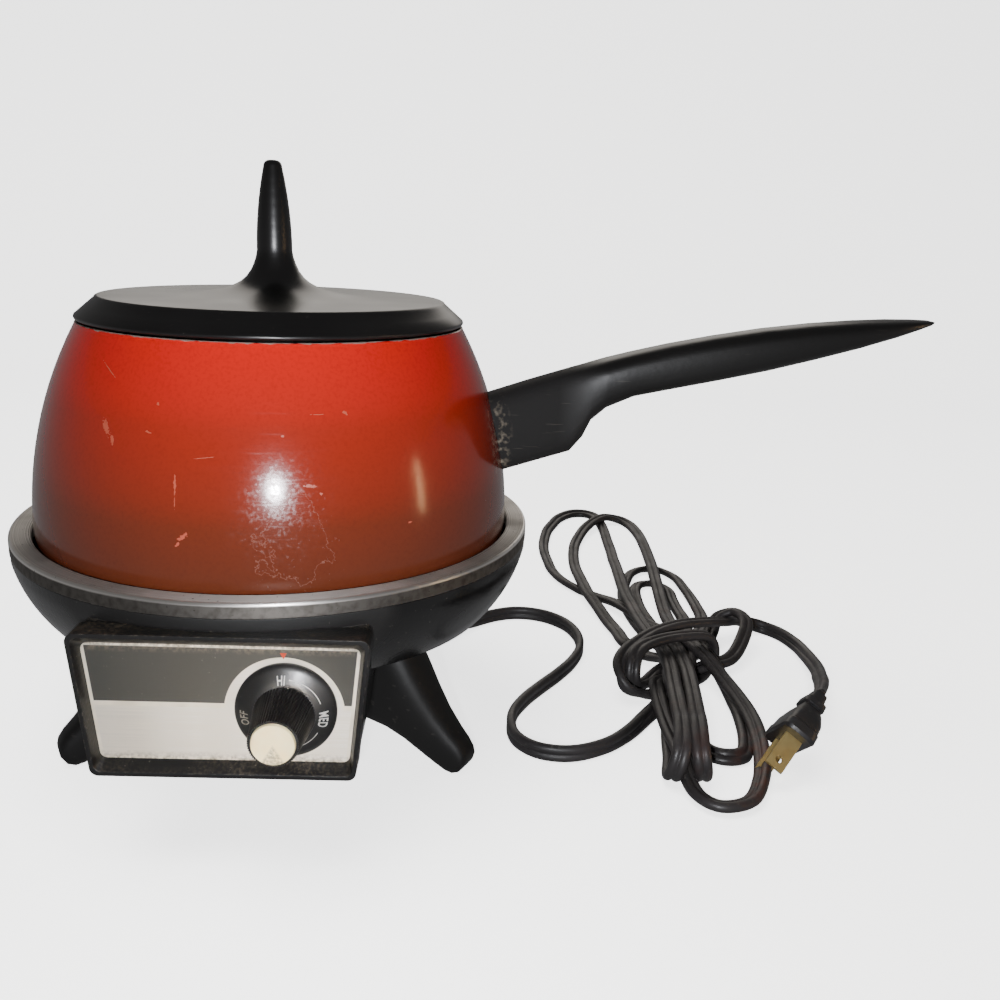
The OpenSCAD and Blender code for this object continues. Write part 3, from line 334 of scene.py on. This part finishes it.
# ---------- bowl and control housing ----------
# The bowl and the housing behind the control panel are one moulding of black phenolic. The
# bowl keeps its polish, and the housing is duller, with cooking dust on its flat top.
housing, tree = new_finish("polished_and_dusty_phenolic")
where = add(tree, "SeparateXYZ", add(tree, "TexCoord").node.outputs["Object"]).node.outputs
boxy = add(tree, "MapRange", where[1], -0.086, -0.09)
facing = add(tree, "SeparateXYZ", add(tree, "TexCoord").node.outputs["Normal"]).node.outputs
level_top = add(tree, "MapRange", facing[2], 0.6, 0.95)
grime = add(tree, "Math", cloud(tree, 0.5, 0.42, 0.9), level_top, operation="MULTIPLY")
grime = add(tree, "Math", grime, boxy, operation="MULTIPLY")
black = add(tree, "Mix", cloud(tree, 30), "080808", "100f0f", data_type="RGBA")
dull = add(tree, "Mix", boxy, black, "161514", data_type="RGBA")
dusty = add(tree, "Mix", grime, dull, "6c6458", data_type="RGBA")
specks = cloud(tree, 0.9, 0.7, 0.78, shift=7)
specked = add(tree, "Mix", add(tree, "Math", specks, 0.5, operation="MULTIPLY"),
              dusty, "6b655d", data_type="RGBA")
shine = add(tree, "MapRange", cloud(tree, 14), 0, 1, 0.16, 0.3)
coat(tree, cloud(tree, 0.7), 0.03, 0.5, Base_Color=specked, IOR=1.6,
     Roughness=add(tree, "Mix", boxy, shine, 0.55))
dress(housing, "base_shell")

# ---------- front frame ----------
# The frame round the panel is a separate phenolic moulding screwed on from behind. Its
# edges are rubbed grey, and fine tan dust lies in patches where it faces up.
frame_finish, tree = new_finish("rubbed_black_phenolic")
shape = add(tree, "NewGeometry").node.outputs["Normal"]
worn = add(tree, "VectorMath", add(tree, "Bevel", 0.0009, samples=6), shape,
           operation="DOT_PRODUCT")
worn = add(tree, "MapRange", worn, 0.97, 0.8)
worn = add(tree, "Math", worn, cloud(tree, 0.8, 0.5, 0.85), operation="MULTIPLY")
facing = add(tree, "SeparateXYZ", add(tree, "TexCoord").node.outputs["Normal"]).node.outputs
settled = add(tree, "MapRange", facing[2], 0.25, 0.7)
settled = add(tree, "Math", settled, cloud(tree, 0.5, 0.42, 0.85), operation="MULTIPLY")
settled = add(tree, "Math", settled, cloud(tree, 9, 0.35, 0.8), operation="MULTIPLY")
specks = cloud(tree, 0.6, 0.7, 0.78, shift=4)
black = add(tree, "Mix", cloud(tree, 12), "0d0c0c", "181716", data_type="RGBA")
dusty = add(tree, "Mix", settled, black, "776a58", data_type="RGBA")
rubbed = add(tree, "Mix", worn, dusty, "7d7468", data_type="RGBA")
specked = add(tree, "Mix", add(tree, "Math", specks, 0.45, operation="MULTIPLY"),
              rubbed, "8a8174", data_type="RGBA")
coat(tree, cloud(tree, 0.6), 0.05, 0.5, Base_Color=specked, IOR=1.6,
     Roughness=add(tree, "MapRange", settled, 0, 1, 0.36, 0.8))
dress(frame_finish, "bezel")

# ---------- faceplate ----------
# A thin aluminium sheet, brushed from side to side, with a grey field screen-printed over
# its upper part. The field leaves a plain cream border and an arch round the knob.
# Bare metal gives soft level streaks and painted vertical bands of reflected light, and the ink a
# flat grey with pale specks.
plate_finish, tree = new_finish("brushed_and_printed_aluminium")
# The print is laid out in mm, by how far inside each outline a place lies.
sheet_top, sheet_foot, field_foot = 81.9, 39.8, 61
border_wide, arch_radius, under_gap, arch_gap, soft = 0.85, 20.1, 1.7, 0.35, 0.06
where = add(tree, "Mapping", add(tree, "TexCoord").node.outputs["Object"], None, None, (1000,) * 3)
x, y, z = add(tree, "SeparateXYZ", where).node.outputs
# The sheet is wider at its top: half its width is 37.5 and 0.099 of the height.
half = add(tree, "Math", z, 0.099, 37.5, operation="MULTIPLY_ADD")
side = add(tree, "Math", half, add(tree, "Math", x, operation="ABSOLUTE"), operation="SUBTRACT")
over = add(tree, "Math", sheet_top, z, operation="SUBTRACT")
under = add(tree, "Math", z, sheet_foot, operation="SUBTRACT")
ends = add(tree, "Math", over, under, operation="MINIMUM")
rim = add(tree, "Math", side, ends, operation="MINIMUM")
inner = add(tree, "Math", rim, border_wide, operation="SUBTRACT")
arch_middle = add(tree, "CombineXYZ", 20.3, y, 58.1)
arch = add(tree, "VectorMath", where, arch_middle, operation="DISTANCE")
arch = add(tree, "Math", arch, arch_radius, operation="SUBTRACT")
below = add(tree, "Math", field_foot, z, operation="SUBTRACT")
field = add(tree, "Math", add(tree, "Math", below, -1, operation="MULTIPLY"), arch,
            operation="MINIMUM")
printed = add(tree, "MapRange", add(tree, "Math", field, inner, operation="MINIMUM"), -soft, soft)
past = add(tree, "Math", add(tree, "Math", below, under_gap, operation="SUBTRACT"),
           add(tree, "Math", -arch_gap, arch, operation="SUBTRACT"), operation="MAXIMUM")
bare = add(tree, "MapRange", add(tree, "Math", past, inner, operation="MINIMUM"), -soft, soft)
brushing = cloud(tree, 0.28, 0.2, 0.8, stretch=(0.02, 1, 1))
# Pale and darker vertical bands on the bare metal are painted reflections of light.
painted_reflection_bands = cloud(tree, 13, 0.36, 0.64, stretch=(1, 0.02, 0.02), shift=4)
ink = add(tree, "Mix", cloud(tree, 0.7, 0.72, 0.85), "3f3e3a", "66635b", data_type="RGBA")
border = add(tree, "Mix", cloud(tree, 4), "f0e7d4", "d6ccb6", data_type="RGBA")
metal = add(tree, "Mix", painted_reflection_bands, "fffaf0", "c6beb0", data_type="RGBA")
metal = add(tree, "Mix", brushing, metal, "e2d9c8", data_type="RGBA")
sheet = add(tree, "Mix", printed, border, ink, data_type="RGBA")
sheet = add(tree, "Mix", bare, sheet, metal, data_type="RGBA")
# A brown film has gathered along the top and foot of the sheet.
film = add(tree, "Math", cloud(tree, 0.6, 0.35, 0.75), add(tree, "MapRange", ends, 3.2, 0.2),
           operation="MULTIPLY")
coat(tree, brushing, 0.008, Anisotropic_Rotation=0.25,
     Anisotropic=add(tree, "MapRange", printed, 0, 1, 0.95, 0),
     Tangent=add(tree, "Tangent", direction_type="RADIAL", axis="Z"),
     Base_Color=add(tree, "Mix", film, sheet, "7d7161", data_type="RGBA"),
     Metallic=add(tree, "Math", bare, 0.15, operation="MULTIPLY"),
     Roughness=add(tree, "Mix", printed, add(tree, "MapRange", film, 0, 1, 0.5, 0.62), 0.38))
dress(plate_finish, "faceplate")


def flat_mesh(name, corners, faces):
    """A mesh of flat faces from corners in mm."""
    mesh = bpy.data.meshes.new(name)
    mesh.from_pydata([[c / 1000 for c in corner] for corner in corners], [], faces)
    return mesh


def printed_ink(name, colour, worn):
    """Screen ink: opaque and slightly rubbed away in specks."""
    made, tree = new_finish(name)
    thin = cloud(tree, 0.6, 0.6, 0.8)
    coat(tree, cloud(tree, 0.5), 0.01, Roughness=add(tree, "MapRange", thin, 0, 1, 0.4, 0.6),
         Base_Color=add(tree, "Mix", thin, colour, worn, data_type="RGBA"))
    return made


# The setting mark over the knob is a small triangle of orange ink on the faceplate.
orange_ink = printed_ink("orange_screen_ink", "d8482c", "a8533f")
mark = flat_mesh("setting_mark", [(19.2, -104.04, 79.8), (21.4, -104.04, 79.8),
                                  (20.3, -104.04, 77.5)], [(0, 2, 1)])
new_piece("setting_mark", mark, orange_ink, "base")

# ---------- knob ----------
# The knob is compression-moulded black phenolic, with a sloping dial skirt and a tapered
# grip of fine flutes. Its skirt carries white printed settings.
# Glossy phenolic: a small clear highlight on each flute, dulled in places by lint.
knob_finish, tree = new_finish("glossy_black_phenolic")
touched = cloud(tree, 6)
lint = cloud(tree, 0.5, 0.7, 0.8, shift=2)
dark = add(tree, "Mix", touched, "0d0d0d", "181717", data_type="RGBA")
coat(tree, cloud(tree, 1), 0.012, 0.25, IOR=1.6,
     Base_Color=add(tree, "Mix", add(tree, "Math", lint, 0.5, operation="MULTIPLY"),
                    dark, "55524d", data_type="RGBA"),
     Roughness=add(tree, "MapRange", touched, 0, 1, 0.28, 0.44))
dress(knob_finish, "knob")


def on_skirt(angle, radius):
    """A point just off the dial skirt in mm, by angle in radians and distance from its
    middle. The skirt is 1.6 thick at its edge and rises by 2.6 to the grip."""
    edge_radius, slope_long, ink_off = 16.5, 5.5, 0.05
    lift = 1.6 + 2.6 * (edge_radius - radius) / slope_long + ink_off
    return 21 + radius * math.cos(angle), -104.6 - lift, 59.6 + radius * math.sin(angle)


white_ink = printed_ink("white_screen_ink", "e6e3dc", "b5b2ab")
faded_ink = printed_ink("faded_screen_ink", "a49c8c", "57534b")
narrowed = 0.66
for word, angle, radius, ink in (("HI", 94, 12.2, white_ink), ("MED", -7, 12.8, white_ink),
                                 ("OFF", 188, 13.3, faded_ink)):
    letters = bpy.data.curves.new(word, "FONT")
    letters.body, letters.size, letters.offset = word, 4.1, 0.07
    letters.align_x, letters.align_y, letters.space_character = "CENTER", "CENTER", 1.12
    shaper = bpy.data.objects.new(word, letters)
    mesh = bpy.data.meshes.new_from_object(shaper)
    bpy.data.objects.remove(shaper)
    for corner in mesh.vertices:
        along, out, _ = corner.co
        turned = math.radians(angle) - along * narrowed / radius
        corner.co = [c / 1000 for c in on_skirt(turned, radius + out)]
    new_piece("dial_" + word, mesh, ink, "dial")
for name, first, last in (("hi_to_med", 82, 19), ("med_to_low", -31, -98), ("off_end", 208, 228)):
    turns = [math.radians(first + (last - first) * i / 24) for i in range(25)]
    corners = [on_skirt(turn, radius) for turn in turns for radius in (12.5, 12.75)]
    mesh = flat_mesh(name, corners, [(2 * i, 2 * i + 1, 2 * i + 3, 2 * i + 2) for i in range(24)])
    new_piece("dial_line_" + name, mesh, white_ink, "dial")

# Spun aluminium, anodised pale champagne: a bright disc cut with fine rings, with a darker
# fan painted below its middle as the dull reflection such a spun disc shows.
cap_finish, tree = new_finish("spun_aluminium_cap")
where = add(tree, "Mapping", add(tree, "TexCoord").node.outputs["Object"], (-21, 0, -59.6),
            None, (1000, 0, 1000))
out = add(tree, "VectorMath", where, operation="LENGTH").node.outputs["Value"]
rings_cut = add(tree, "TexNoise", out, 4.0, 2, noise_dimensions="1D")
across, _, upward = add(tree, "SeparateXYZ", where).node.outputs
# The darker fan below the middle is painted reflection, made grainy by a fine cloud.
reflection_fan = add(tree, "Math", add(tree, "Math", upward, -0.62, operation="MULTIPLY"),
          add(tree, "Math", across, operation="ABSOLUTE"), operation="SUBTRACT")
reflection_fan = add(tree, "MapRange", reflection_fan, -0.3, 0.7, 0, 0.8)
painted_dark_reflection = add(tree, "Math", reflection_fan, cloud(tree, 0.5, 0.3, 0.6), operation="MULTIPLY")
bright = add(tree, "Mix", cloud(tree, 3), "fff1c0", "ffe8ac", data_type="RGBA")
coat(tree, rings_cut, 0.01, 0.2, Metallic=0.1, Anisotropic=0.8, Anisotropic_Rotation=0.25,
     Tangent=add(tree, "Tangent", direction_type="RADIAL", axis="Y"),
     Base_Color=add(tree, "Mix", painted_dark_reflection, bright, "857d69", data_type="RGBA"),
     Roughness=add(tree, "MapRange", rings_cut, 0.3, 0.7, 0.44, 0.54))
dress(cap_finish, "knob_cap")

# ---------- thermostat and its wires ----------
# The thermostat's switch sits in a fired steatite case. Its wires are stranded copper in
# woven glass sleeves, black on the live side and off-white on the neutral.
# Steatite: a matt, finely grained cream. The sleeves: dull, with a fine weave.
steatite, tree = new_finish("fired_steatite")
grain = cloud(tree, 0.7)
coat(tree, grain, 0.06, 0.4, Roughness=add(tree, "MapRange", grain, 0, 1, 0.4, 0.6),
     Base_Color=add(tree, "Mix", grain, "d8cfbd", "bfb49f", data_type="RGBA"))
dress(steatite, "thermostat_case")
for name, pale, dark, wires in (
        ("black_glass_sleeve", "2b2a29", "151414", ("lead_live", "lead_load")),
        ("white_glass_sleeve", "ded8c8", "b3ab98", ("lead_neutral",))):
    sleeve, tree = new_finish(name)
    weave = cloud(tree, 0.5, 0.35, 0.65)
    coat(tree, weave, 0.08, Roughness=add(tree, "MapRange", weave, 0, 1, 0.5, 0.75),
         Base_Color=add(tree, "Mix", weave, dark, pale, data_type="RGBA"))
    dress(sleeve, *wires)

# ---------- heating element, straps and shield ----------
# The element is a bent steel sheath packed with magnesia, oxidised brown-black by heat. It
# is clamped under the plate by pressed straps, over a shield of aluminised sheet.
sheath, tree = new_finish("oxidised_steel_sheath")
scale = cloud(tree, 3)
coat(tree, cloud(tree, 0.6), 0.03, Metallic=0.85,
     Base_Color=add(tree, "Mix", scale, "3a332d", "6a5f54", data_type="RGBA"),
     Roughness=add(tree, "MapRange", scale, 0, 1, 0.4, 0.65))
dress(sheath, "heating_element")
# Aluminised sheet: pale grey metal with a faint spangle.
aluminised, tree = new_finish("aluminised_sheet")
spangle = cloud(tree, 5)
coat(tree, cloud(tree, 1), 0.03, 0.3, Metallic=1.0,
     Base_Color=add(tree, "Mix", spangle, "b4b2ac", "8d8981", data_type="RGBA"),
     Roughness=add(tree, "MapRange", spangle, 0, 1, 0.35, 0.55))
dress(aluminised, "heat_shield", "element_straps", "plate_posts")

# ---------- hot plate ----------
# The plate is cast aluminium, turned flat on top: fine turning rings over a grey, slightly
# porous casting.
casting, tree = new_finish("turned_cast_aluminium")
flattened = add(tree, "Mapping", add(tree, "TexCoord").node.outputs["Object"], None, None,
                (1000, 1000, 0))
out = add(tree, "VectorMath", flattened, operation="LENGTH").node.outputs["Value"]
turning = add(tree, "TexNoise", out, 2.0, 2, noise_dimensions="1D")
pores = cloud(tree, 0.8, 0.68, 0.8)
grey = add(tree, "Mix", turning, "a5a39e", "c0beb8", data_type="RGBA")
coat(tree, turning, 0.03, 0.5, Metallic=1.0,
     Base_Color=add(tree, "Mix", pores, grey, "4b4844", data_type="RGBA"),
     Roughness=add(tree, "MapRange", cloud(tree, 8), 0, 1, 0.34, 0.52))
dress(casting, "hot_plate")

# ---------- trim ring ----------
# The ring is pressed from aluminium strip and sprung over the bowl's lip. Its top is
# brushed in rings, its outer corner is painted bright and glossy as a highlight, and its skirt is
# spotted with age.
ring_finish, tree = new_finish("brushed_aluminium_ring")
spot = add(tree, "TexCoord").node.outputs["Object"]
flattened = add(tree, "Mapping", spot, None, None, (1000, 1000, 0))
out = add(tree, "VectorMath", flattened, operation="LENGTH").node.outputs["Value"]
brushing = add(tree, "TexNoise", out, 3.0, 3, noise_dimensions="1D")
# Heights are in metres, and the distance out from the ring's middle is in mm.
height = add(tree, "SeparateXYZ", spot).node.outputs[2]
skirt = add(tree, "MapRange", height, 0.0961, 0.0954)
spots = add(tree, "Math", cloud(tree, 1.3, 0.42, 0.8), skirt, operation="MULTIPLY")
haze = cloud(tree, 11, 0.4, 0.75, stretch=(1, 1, 3))
bright = add(tree, "Mix", add(tree, "MapRange", brushing, 0.3, 0.7), "f6f2ec", "b4b0aa",
             data_type="RGBA")
bright = add(tree, "Mix", skirt, bright, "7a7671", data_type="RGBA")
hazed = add(tree, "Mix", add(tree, "Math", haze, 0.55, operation="MULTIPLY"), bright, "85807a",
            data_type="RGBA")
pits = cloud(tree, 0.7, 0.7, 0.78, shift=8)
# A narrow band round the outer corner is painted bright as a highlight, and made glossier.
corner = add(tree, "Math", add(tree, "MapRange", out, 103.3, 103.8),
             add(tree, "MapRange", height, 0.0956, 0.0961), operation="MULTIPLY")
dull = add(tree, "Mix", skirt, add(tree, "MapRange", haze, 0, 1, 0.66, 0.76), 0.72)
spots_and_highlight = add(tree, "Mix", spots, hazed, "625e59", data_type="RGBA")
spots_and_highlight = add(tree, "Mix", corner, spots_and_highlight, "f4f0ea", data_type="RGBA")
coat(tree, brushing, 0.012, 1.0, Metallic=1.0, Anisotropic=0.6, Anisotropic_Rotation=0.25,
     Tangent=add(tree, "Tangent", direction_type="RADIAL", axis="Z"),
     Base_Color=add(tree, "Mix", pits, spots_and_highlight, "413d39", data_type="RGBA"),
     Roughness=add(tree, "Mix", corner, dull, 0.34))
dress(ring_finish, "trim_ring")

# ---------- pot ----------
# The pot is spun aluminium with sprayed enamel outside, fired orange-red at the rim and
# shaded to brown at the foot. Inside it has a dark non-stick coating.
enamel, tree = new_finish("shaded_fired_enamel")
spot = add(tree, "TexCoord").node.outputs["Object"]
height = add(tree, "SeparateXYZ", spot).node.outputs[2]
shaded = add(tree, "Mix", add(tree, "MapRange", height, 0.096, 0.128), "64301c", "843018",
             data_type="RGBA")
shaded = add(tree, "Mix", add(tree, "MapRange", height, 0.118, 0.158), shaded, "bd2f1f",
             data_type="RGBA")
shaded = add(tree, "Mix", add(tree, "MapRange", height, 0.15, 0.178), shaded, "f21b12",
             data_type="RGBA")
grains = add(tree, "Math", cloud(tree, 0.6, 0.45, 0.85), 0.18, operation="MULTIPLY")
grained = add(tree, "Mix", grains, shaded, "3d120a", data_type="RGBA")

# Chips and scratches: place in mm, length, width and tilt from level in degrees. The
# places were worked out by a scratch program, as points where sight lines meet the wall.
marks = [((-42.3, -76.7, 147.8), 5.5, 2.4, 65), ((-39.6, -79, 144.4), 4.5, 1.3, 80),
         ((-26.2, -83.5, 148.1), 2.8, 0.9, 20), ((-16.4, -90.3, 131.9), 7, 1, 90),
         ((-16.4, -91.4, 126.4), 4, 0.4, 90), ((-13.7, -93.4, 115.5), 4.6, 1.5, -35),
         ((-15.6, -93.6, 112.9), 2.4, 1.2, -50), ((-42.7, -68.5, 165.7), 8, 0.35, 38),
         ((-7.1, -89.2, 141.3), 7.5, 0.3, -8), ((27, -87.6, 132.5), 4.4, 1, 8),
         ((30.6, -87, 129.7), 1.3, 1.1, 0), ((37.3, -76.4, 155.2), 2.2, 1, 40),
         ((18.2, -85.4, 148.6), 1.3, 0.9, 30), ((28.7, -80.1, 155.1), 4.5, 0.3, 0),
         ((59.4, -73.2, 116.6), 1.5, 0.8, 0), ((-23.2, -81.1, 157.1), 1.2, 0.9, 60)]
ragged = add(tree, "VectorMath", add(tree, "TexNoise", spot, 1100.0, 2).node.outputs["Color"],
             (0.5, 0.5, 0.5), operation="SUBTRACT")
chipped = 0.0
for middle, long, wide, tilt in marks:
    inside = add(tree, "Mapping", spot, [m / 1000 for m in middle], (0, math.radians(tilt), 0),
                 (long / 2000, 0.02, wide / 2000), vector_type="TEXTURE")
    rough = add(tree, "VectorMath", add(tree, "VectorMath", ragged, inside, operation="ADD"),
                ragged, operation="ADD")
    reach = add(tree, "VectorMath", rough, operation="LENGTH")
    chip = add(tree, "MapRange", reach, 1.0, 0.7)
    chipped = add(tree, "Math", chipped, chip, operation="MAXIMUM")
# A stain with a fine pale outline has dried on the front, over the foot of the pot.
far = add(tree, "Mapping", spot, (0.0225, -0.0915, 0.113), None, (0.011, 0.03, 0.014),
          vector_type="TEXTURE")
far = add(tree, "VectorMath", far, operation="LENGTH")
edge = add(tree, "TexNoise", spot, 75.0, 5, 0.6)
edge = add(tree, "Math", add(tree, "Math", edge, 2.6, operation="MULTIPLY"), far, operation="ADD")
edge = add(tree, "Math", add(tree, "Math", edge, 2.2, operation="SUBTRACT"), operation="ABSOLUTE")
edge = add(tree, "MapRange", edge, 0.026, 0.006, 0, 0.26)
# The bare rim shows under the lid, where the enamel has chipped away along a ragged line.
wander = add(tree, "Math", cloud(tree, 2.2, 0.3, 0.8), 0.0008, operation="MULTIPLY")
bare = add(tree, "MapRange", add(tree, "Math", height, wander, operation="ADD"), 0.1774, 0.1776)
# Pale residue has baked on round the root of the handle.
crust = add(tree, "Mapping", spot, (0.0905, -0.012, 0.131), None, (0.006, 0.014, 0.016),
            vector_type="TEXTURE")
crust = add(tree, "MapRange", add(tree, "VectorMath", crust, operation="LENGTH"), 1.2, 0.3)
crust = add(tree, "Math", crust, cloud(tree, 1.6, 0.5, 0.7), operation="MULTIPLY")
# What faces up or towards the pot's own middle is its inside, with the non-stick coating.
inward = add(tree, "Mapping", spot, (0, 0, -0.05), None, (1, 1, 0))
inward = add(tree, "VectorMath", inward, add(tree, "TexCoord").node.outputs["Normal"],
             operation="DOT_PRODUCT")
inside = add(tree, "MapRange", inward, 0.002, -0.002)
colour = add(tree, "Mix", chipped, grained, "cf5f47", data_type="RGBA")
colour = add(tree, "Mix", edge, colour, "c99080", data_type="RGBA")
colour = add(tree, "Mix", crust, colour, "b3a595", data_type="RGBA")
non_stick = add(tree, "Mix", cloud(tree, 0.7), "252526", "343435", data_type="RGBA")
colour = add(tree, "Mix", inside, colour, non_stick, data_type="RGBA")
rubbed = cloud(tree, 0.4, 0.56, 0.95, stretch=(0.06, 0.06, 1))
gritty = add(tree, "Math", cloud(tree, 0.7, 0.5, 0.8), add(tree, "MapRange", far, 2.6, 1.2),
             operation="MULTIPLY")
rubbed = add(tree, "Math", rubbed, gritty, operation="MAXIMUM")
gloss = add(tree, "Math", add(tree, "MapRange", rubbed, 0, 1, 0.15, 0.36),
            add(tree, "Math", chipped, 0.3, operation="MULTIPLY"), operation="ADD")
coat(tree, cloud(tree, 0.9), 0.006, IOR=1.55,
     Base_Color=add(tree, "Mix", bare, colour, "c6b3a6", data_type="RGBA"),
     Metallic=add(tree, "Math", bare, 0.3, operation="MULTIPLY"),
     Roughness=add(tree, "Mix", inside, gloss, 0.5))
dress(enamel, "pot_shell")

# ---------- handle ----------
# The long handle is one phenolic moulding that narrows from a deep root to a thin tip. It
# slides onto a steel tongue welded to the pot, and one screw from below holds it.
# Satin phenolic: a soft sheen along the grip that dies out at the dull, crusted root.
handle_finish, tree = new_finish("satin_black_phenolic")
handled = cloud(tree, 26, stretch=(0.4, 1, 1))
black = add(tree, "Mix", handled, "090808", "141312", data_type="RGBA")
hairs = cloud(tree, 0.6, 0.7, 0.8, stretch=(0.08, 1, 1), shift=2)
residue = add(tree, "Mapping", add(tree, "TexCoord").node.outputs["Object"], (0.09, -0.008, 0.131),
              None, (0.007, 0.02, 0.02), vector_type="TEXTURE")
residue = add(tree, "MapRange", add(tree, "VectorMath", residue, operation="LENGTH"), 1.1, 0.5)
residue = add(tree, "Math", residue, cloud(tree, 1.2, 0.5, 0.75), operation="MULTIPLY")
marked = add(tree, "Mix", hairs, black, "37342f", data_type="RGBA")
length_way = add(tree, "SeparateXYZ", add(tree, "TexCoord").node.outputs["Object"])
root = add(tree, "MapRange", length_way, 0.135, 0.115)
coat(tree, cloud(tree, 1.2), 0.02, 0.5, IOR=1.6,
     Base_Color=add(tree, "Mix", residue, marked, "8e8474", data_type="RGBA"),
     Roughness=add(tree, "Mix", root, add(tree, "MapRange", handled, 0, 1, 0.28, 0.4), 0.86))
dress(handle_finish, "pot_handle")

# ---------- lid ----------
# The lid and its tall finial are one polished phenolic moulding. Its top has fine wiping
# scratches, and a flange below keeps it centred in the pot.
lid_finish, tree = new_finish("polished_black_phenolic")
wiped = cloud(tree, 24)
black = add(tree, "Mix", wiped, "080707", "121111", data_type="RGBA")
dust = cloud(tree, 0.6, 0.72, 0.8, shift=9)
fine = cloud(tree, 0.5, 0.35, 0.75, stretch=(0.15, 0.5, 1))
coat(tree, fine, 0.006, 0.6, IOR=1.6,
     Base_Color=add(tree, "Mix", dust, black, "4a4743", data_type="RGBA"),
     Roughness=add(tree, "MapRange", wiped, 0, 1, 0.26, 0.36))
dress(lid_finish, "lid")

# ---------- floor and light ----------
# A sheet of matt white paper sweeps up behind the object, and glows evenly, as paper lit
# from all around does. The object stands in a dim room, between a small bare lamp beside
# the lens that gives the glints, a warm one at the right and soft ones above and behind.
paper, tree = new_finish("matt_white_paper")
tooth = cloud(tree, 3)
coat(tree, tooth, 0.05, Roughness=0.9, Emission_Color=linear("f4f4f4"), Emission_Strength=2.6,
     Base_Color=add(tree, "Mix", tooth, "eeedea", "f2f1ef", data_type="RGBA"))
# The sheet in mm from front to back: flat, then a quarter round, then upright.
reach_out, bend_from, bend_radius, sheet_high = 9000, 900, 600, 3200
sweep = [(-reach_out, 0), (bend_from, 0)]
sweep += [(bend_from + bend_radius * math.sin(math.radians(a)),
           bend_radius - bend_radius * math.cos(math.radians(a))) for a in range(6, 91, 6)]
sweep += [(bend_from + bend_radius, sheet_high)]
corners = [(x, y, z) for y, z in sweep for x in (-reach_out, reach_out)]
backdrop = flat_mesh("paper_sweep", corners, [(2 * i, 2 * i + 1, 2 * i + 3, 2 * i + 2)
                                              for i in range(len(sweep) - 1)])
backdrop.materials.append(paper)
backdrop.shade_smooth()
floor = bpy.data.objects.new("paper_sweep", backdrop)
bpy.context.scene.collection.objects.link(floor)
# The paper throws no light on the object and isn't mirrored in it, which keeps it dark.
floor.visible_diffuse = floor.visible_glossy = False


def softbox(name, place, aim, width, height, watts, colour, glossy=True):
    """A rectangular lamp at a place in metres, turned to an aim. A glossy one is mirrored
    in shiny pieces."""
    lamp = bpy.data.lights.new(name, "AREA")
    lamp.shape, lamp.size, lamp.size_y, lamp.energy = "RECTANGLE", width, height, watts
    lamp.color = linear(colour)[:3]
    made = bpy.data.objects.new(name, lamp)
    made.visible_camera, made.visible_glossy = False, glossy
    made.location = place
    made.rotation_euler = (Vector(aim) - Vector(place)).to_track_quat("-Z", "Y").to_euler()
    bpy.context.scene.collection.objects.link(made)
    return made


softbox("lens_lamp", (0.0636, -0.398, 0.1772), (0.01, -0.09, 0.12), 0.013, 0.013, 1.45, "f8faff")
softbox("overhead", (-0.3, -0.2, 1.7), (0, 0, 0.1), 1.2, 1.2, 3.5, "fffaf2", glossy=False)
panel_lamp = softbox("panel_lamp", (0.05, -0.44, 0.1), (0.006, -0.104, 0.056), 0.03, 0.03, 0.022,
                     "fff2e0")
panel_lamp.data.spread = math.radians(20)
back_card = softbox("back_card", (0.0, 1.35, 0.75), (0, 0, 0.15), 1.4, 0.8, 4.6, "fff8ee")
behind = softbox("behind", (-0.5, 1.3, 0.9), (0.05, 0, 0.1), 1.2, 1.2, 16, "fff8f0", glossy=False)
softbox("tall_right", (0.75, -0.186, 0.15), (0.05, 0, 0.12), 0.03, 0.17, 0.26, "ffcf96")
over_paper = softbox("over_paper", (-0.4, -0.3, 2.2), (0, 0.1, 0), 1.6, 1.6, 70, "ffffff",
                     glossy=False)
# One lamp lights only the paper, for its soft contact shadows. The two lamps behind don't
# light it, and a weak one in front lights only the faceplate, the knob and its cap.
over_paper.light_linking.receiver_collection = bpy.data.collections.new("paper_only")
over_paper.light_linking.receiver_collection.objects.link(floor)
not_paper = bpy.data.collections.new("not_paper")
not_paper.objects.link(floor)
not_paper.collection_objects[0].light_linking.link_state = "EXCLUDE"
for lamp in (back_card, behind):
    lamp.light_linking.receiver_collection = not_paper
lit_panel = bpy.data.collections.new("lit_panel")
for name in ("faceplate", "knob", "knob_cap"):
    lit_panel.objects.link(nodes[name])
panel_lamp.light_linking.receiver_collection = lit_panel
# The room is a dim grey that shows only in reflections, paler low down. Past the paper's
# edges the lens sees plain white.
world = bpy.data.worlds.new("room")
world.use_nodes = True
tree = world.node_tree
tree.nodes.clear()
upward = add(tree, "SeparateXYZ", add(tree, "TexCoord").node.outputs["Generated"]).node.outputs[2]
mirrored = add(tree, "Mix", add(tree, "MapRange", upward, -0.1, 0.3), "8f8f90", "656464",
               data_type="RGBA")
room = add(tree, "Mix", add(tree, "LightPath"), mirrored, (3.0, 3.0, 3.0, 1), data_type="RGBA")
add(tree, "OutputWorld", add(tree, "Background", room, 1.0))
world.cycles_visibility.diffuse = False
bpy.context.scene.world = world
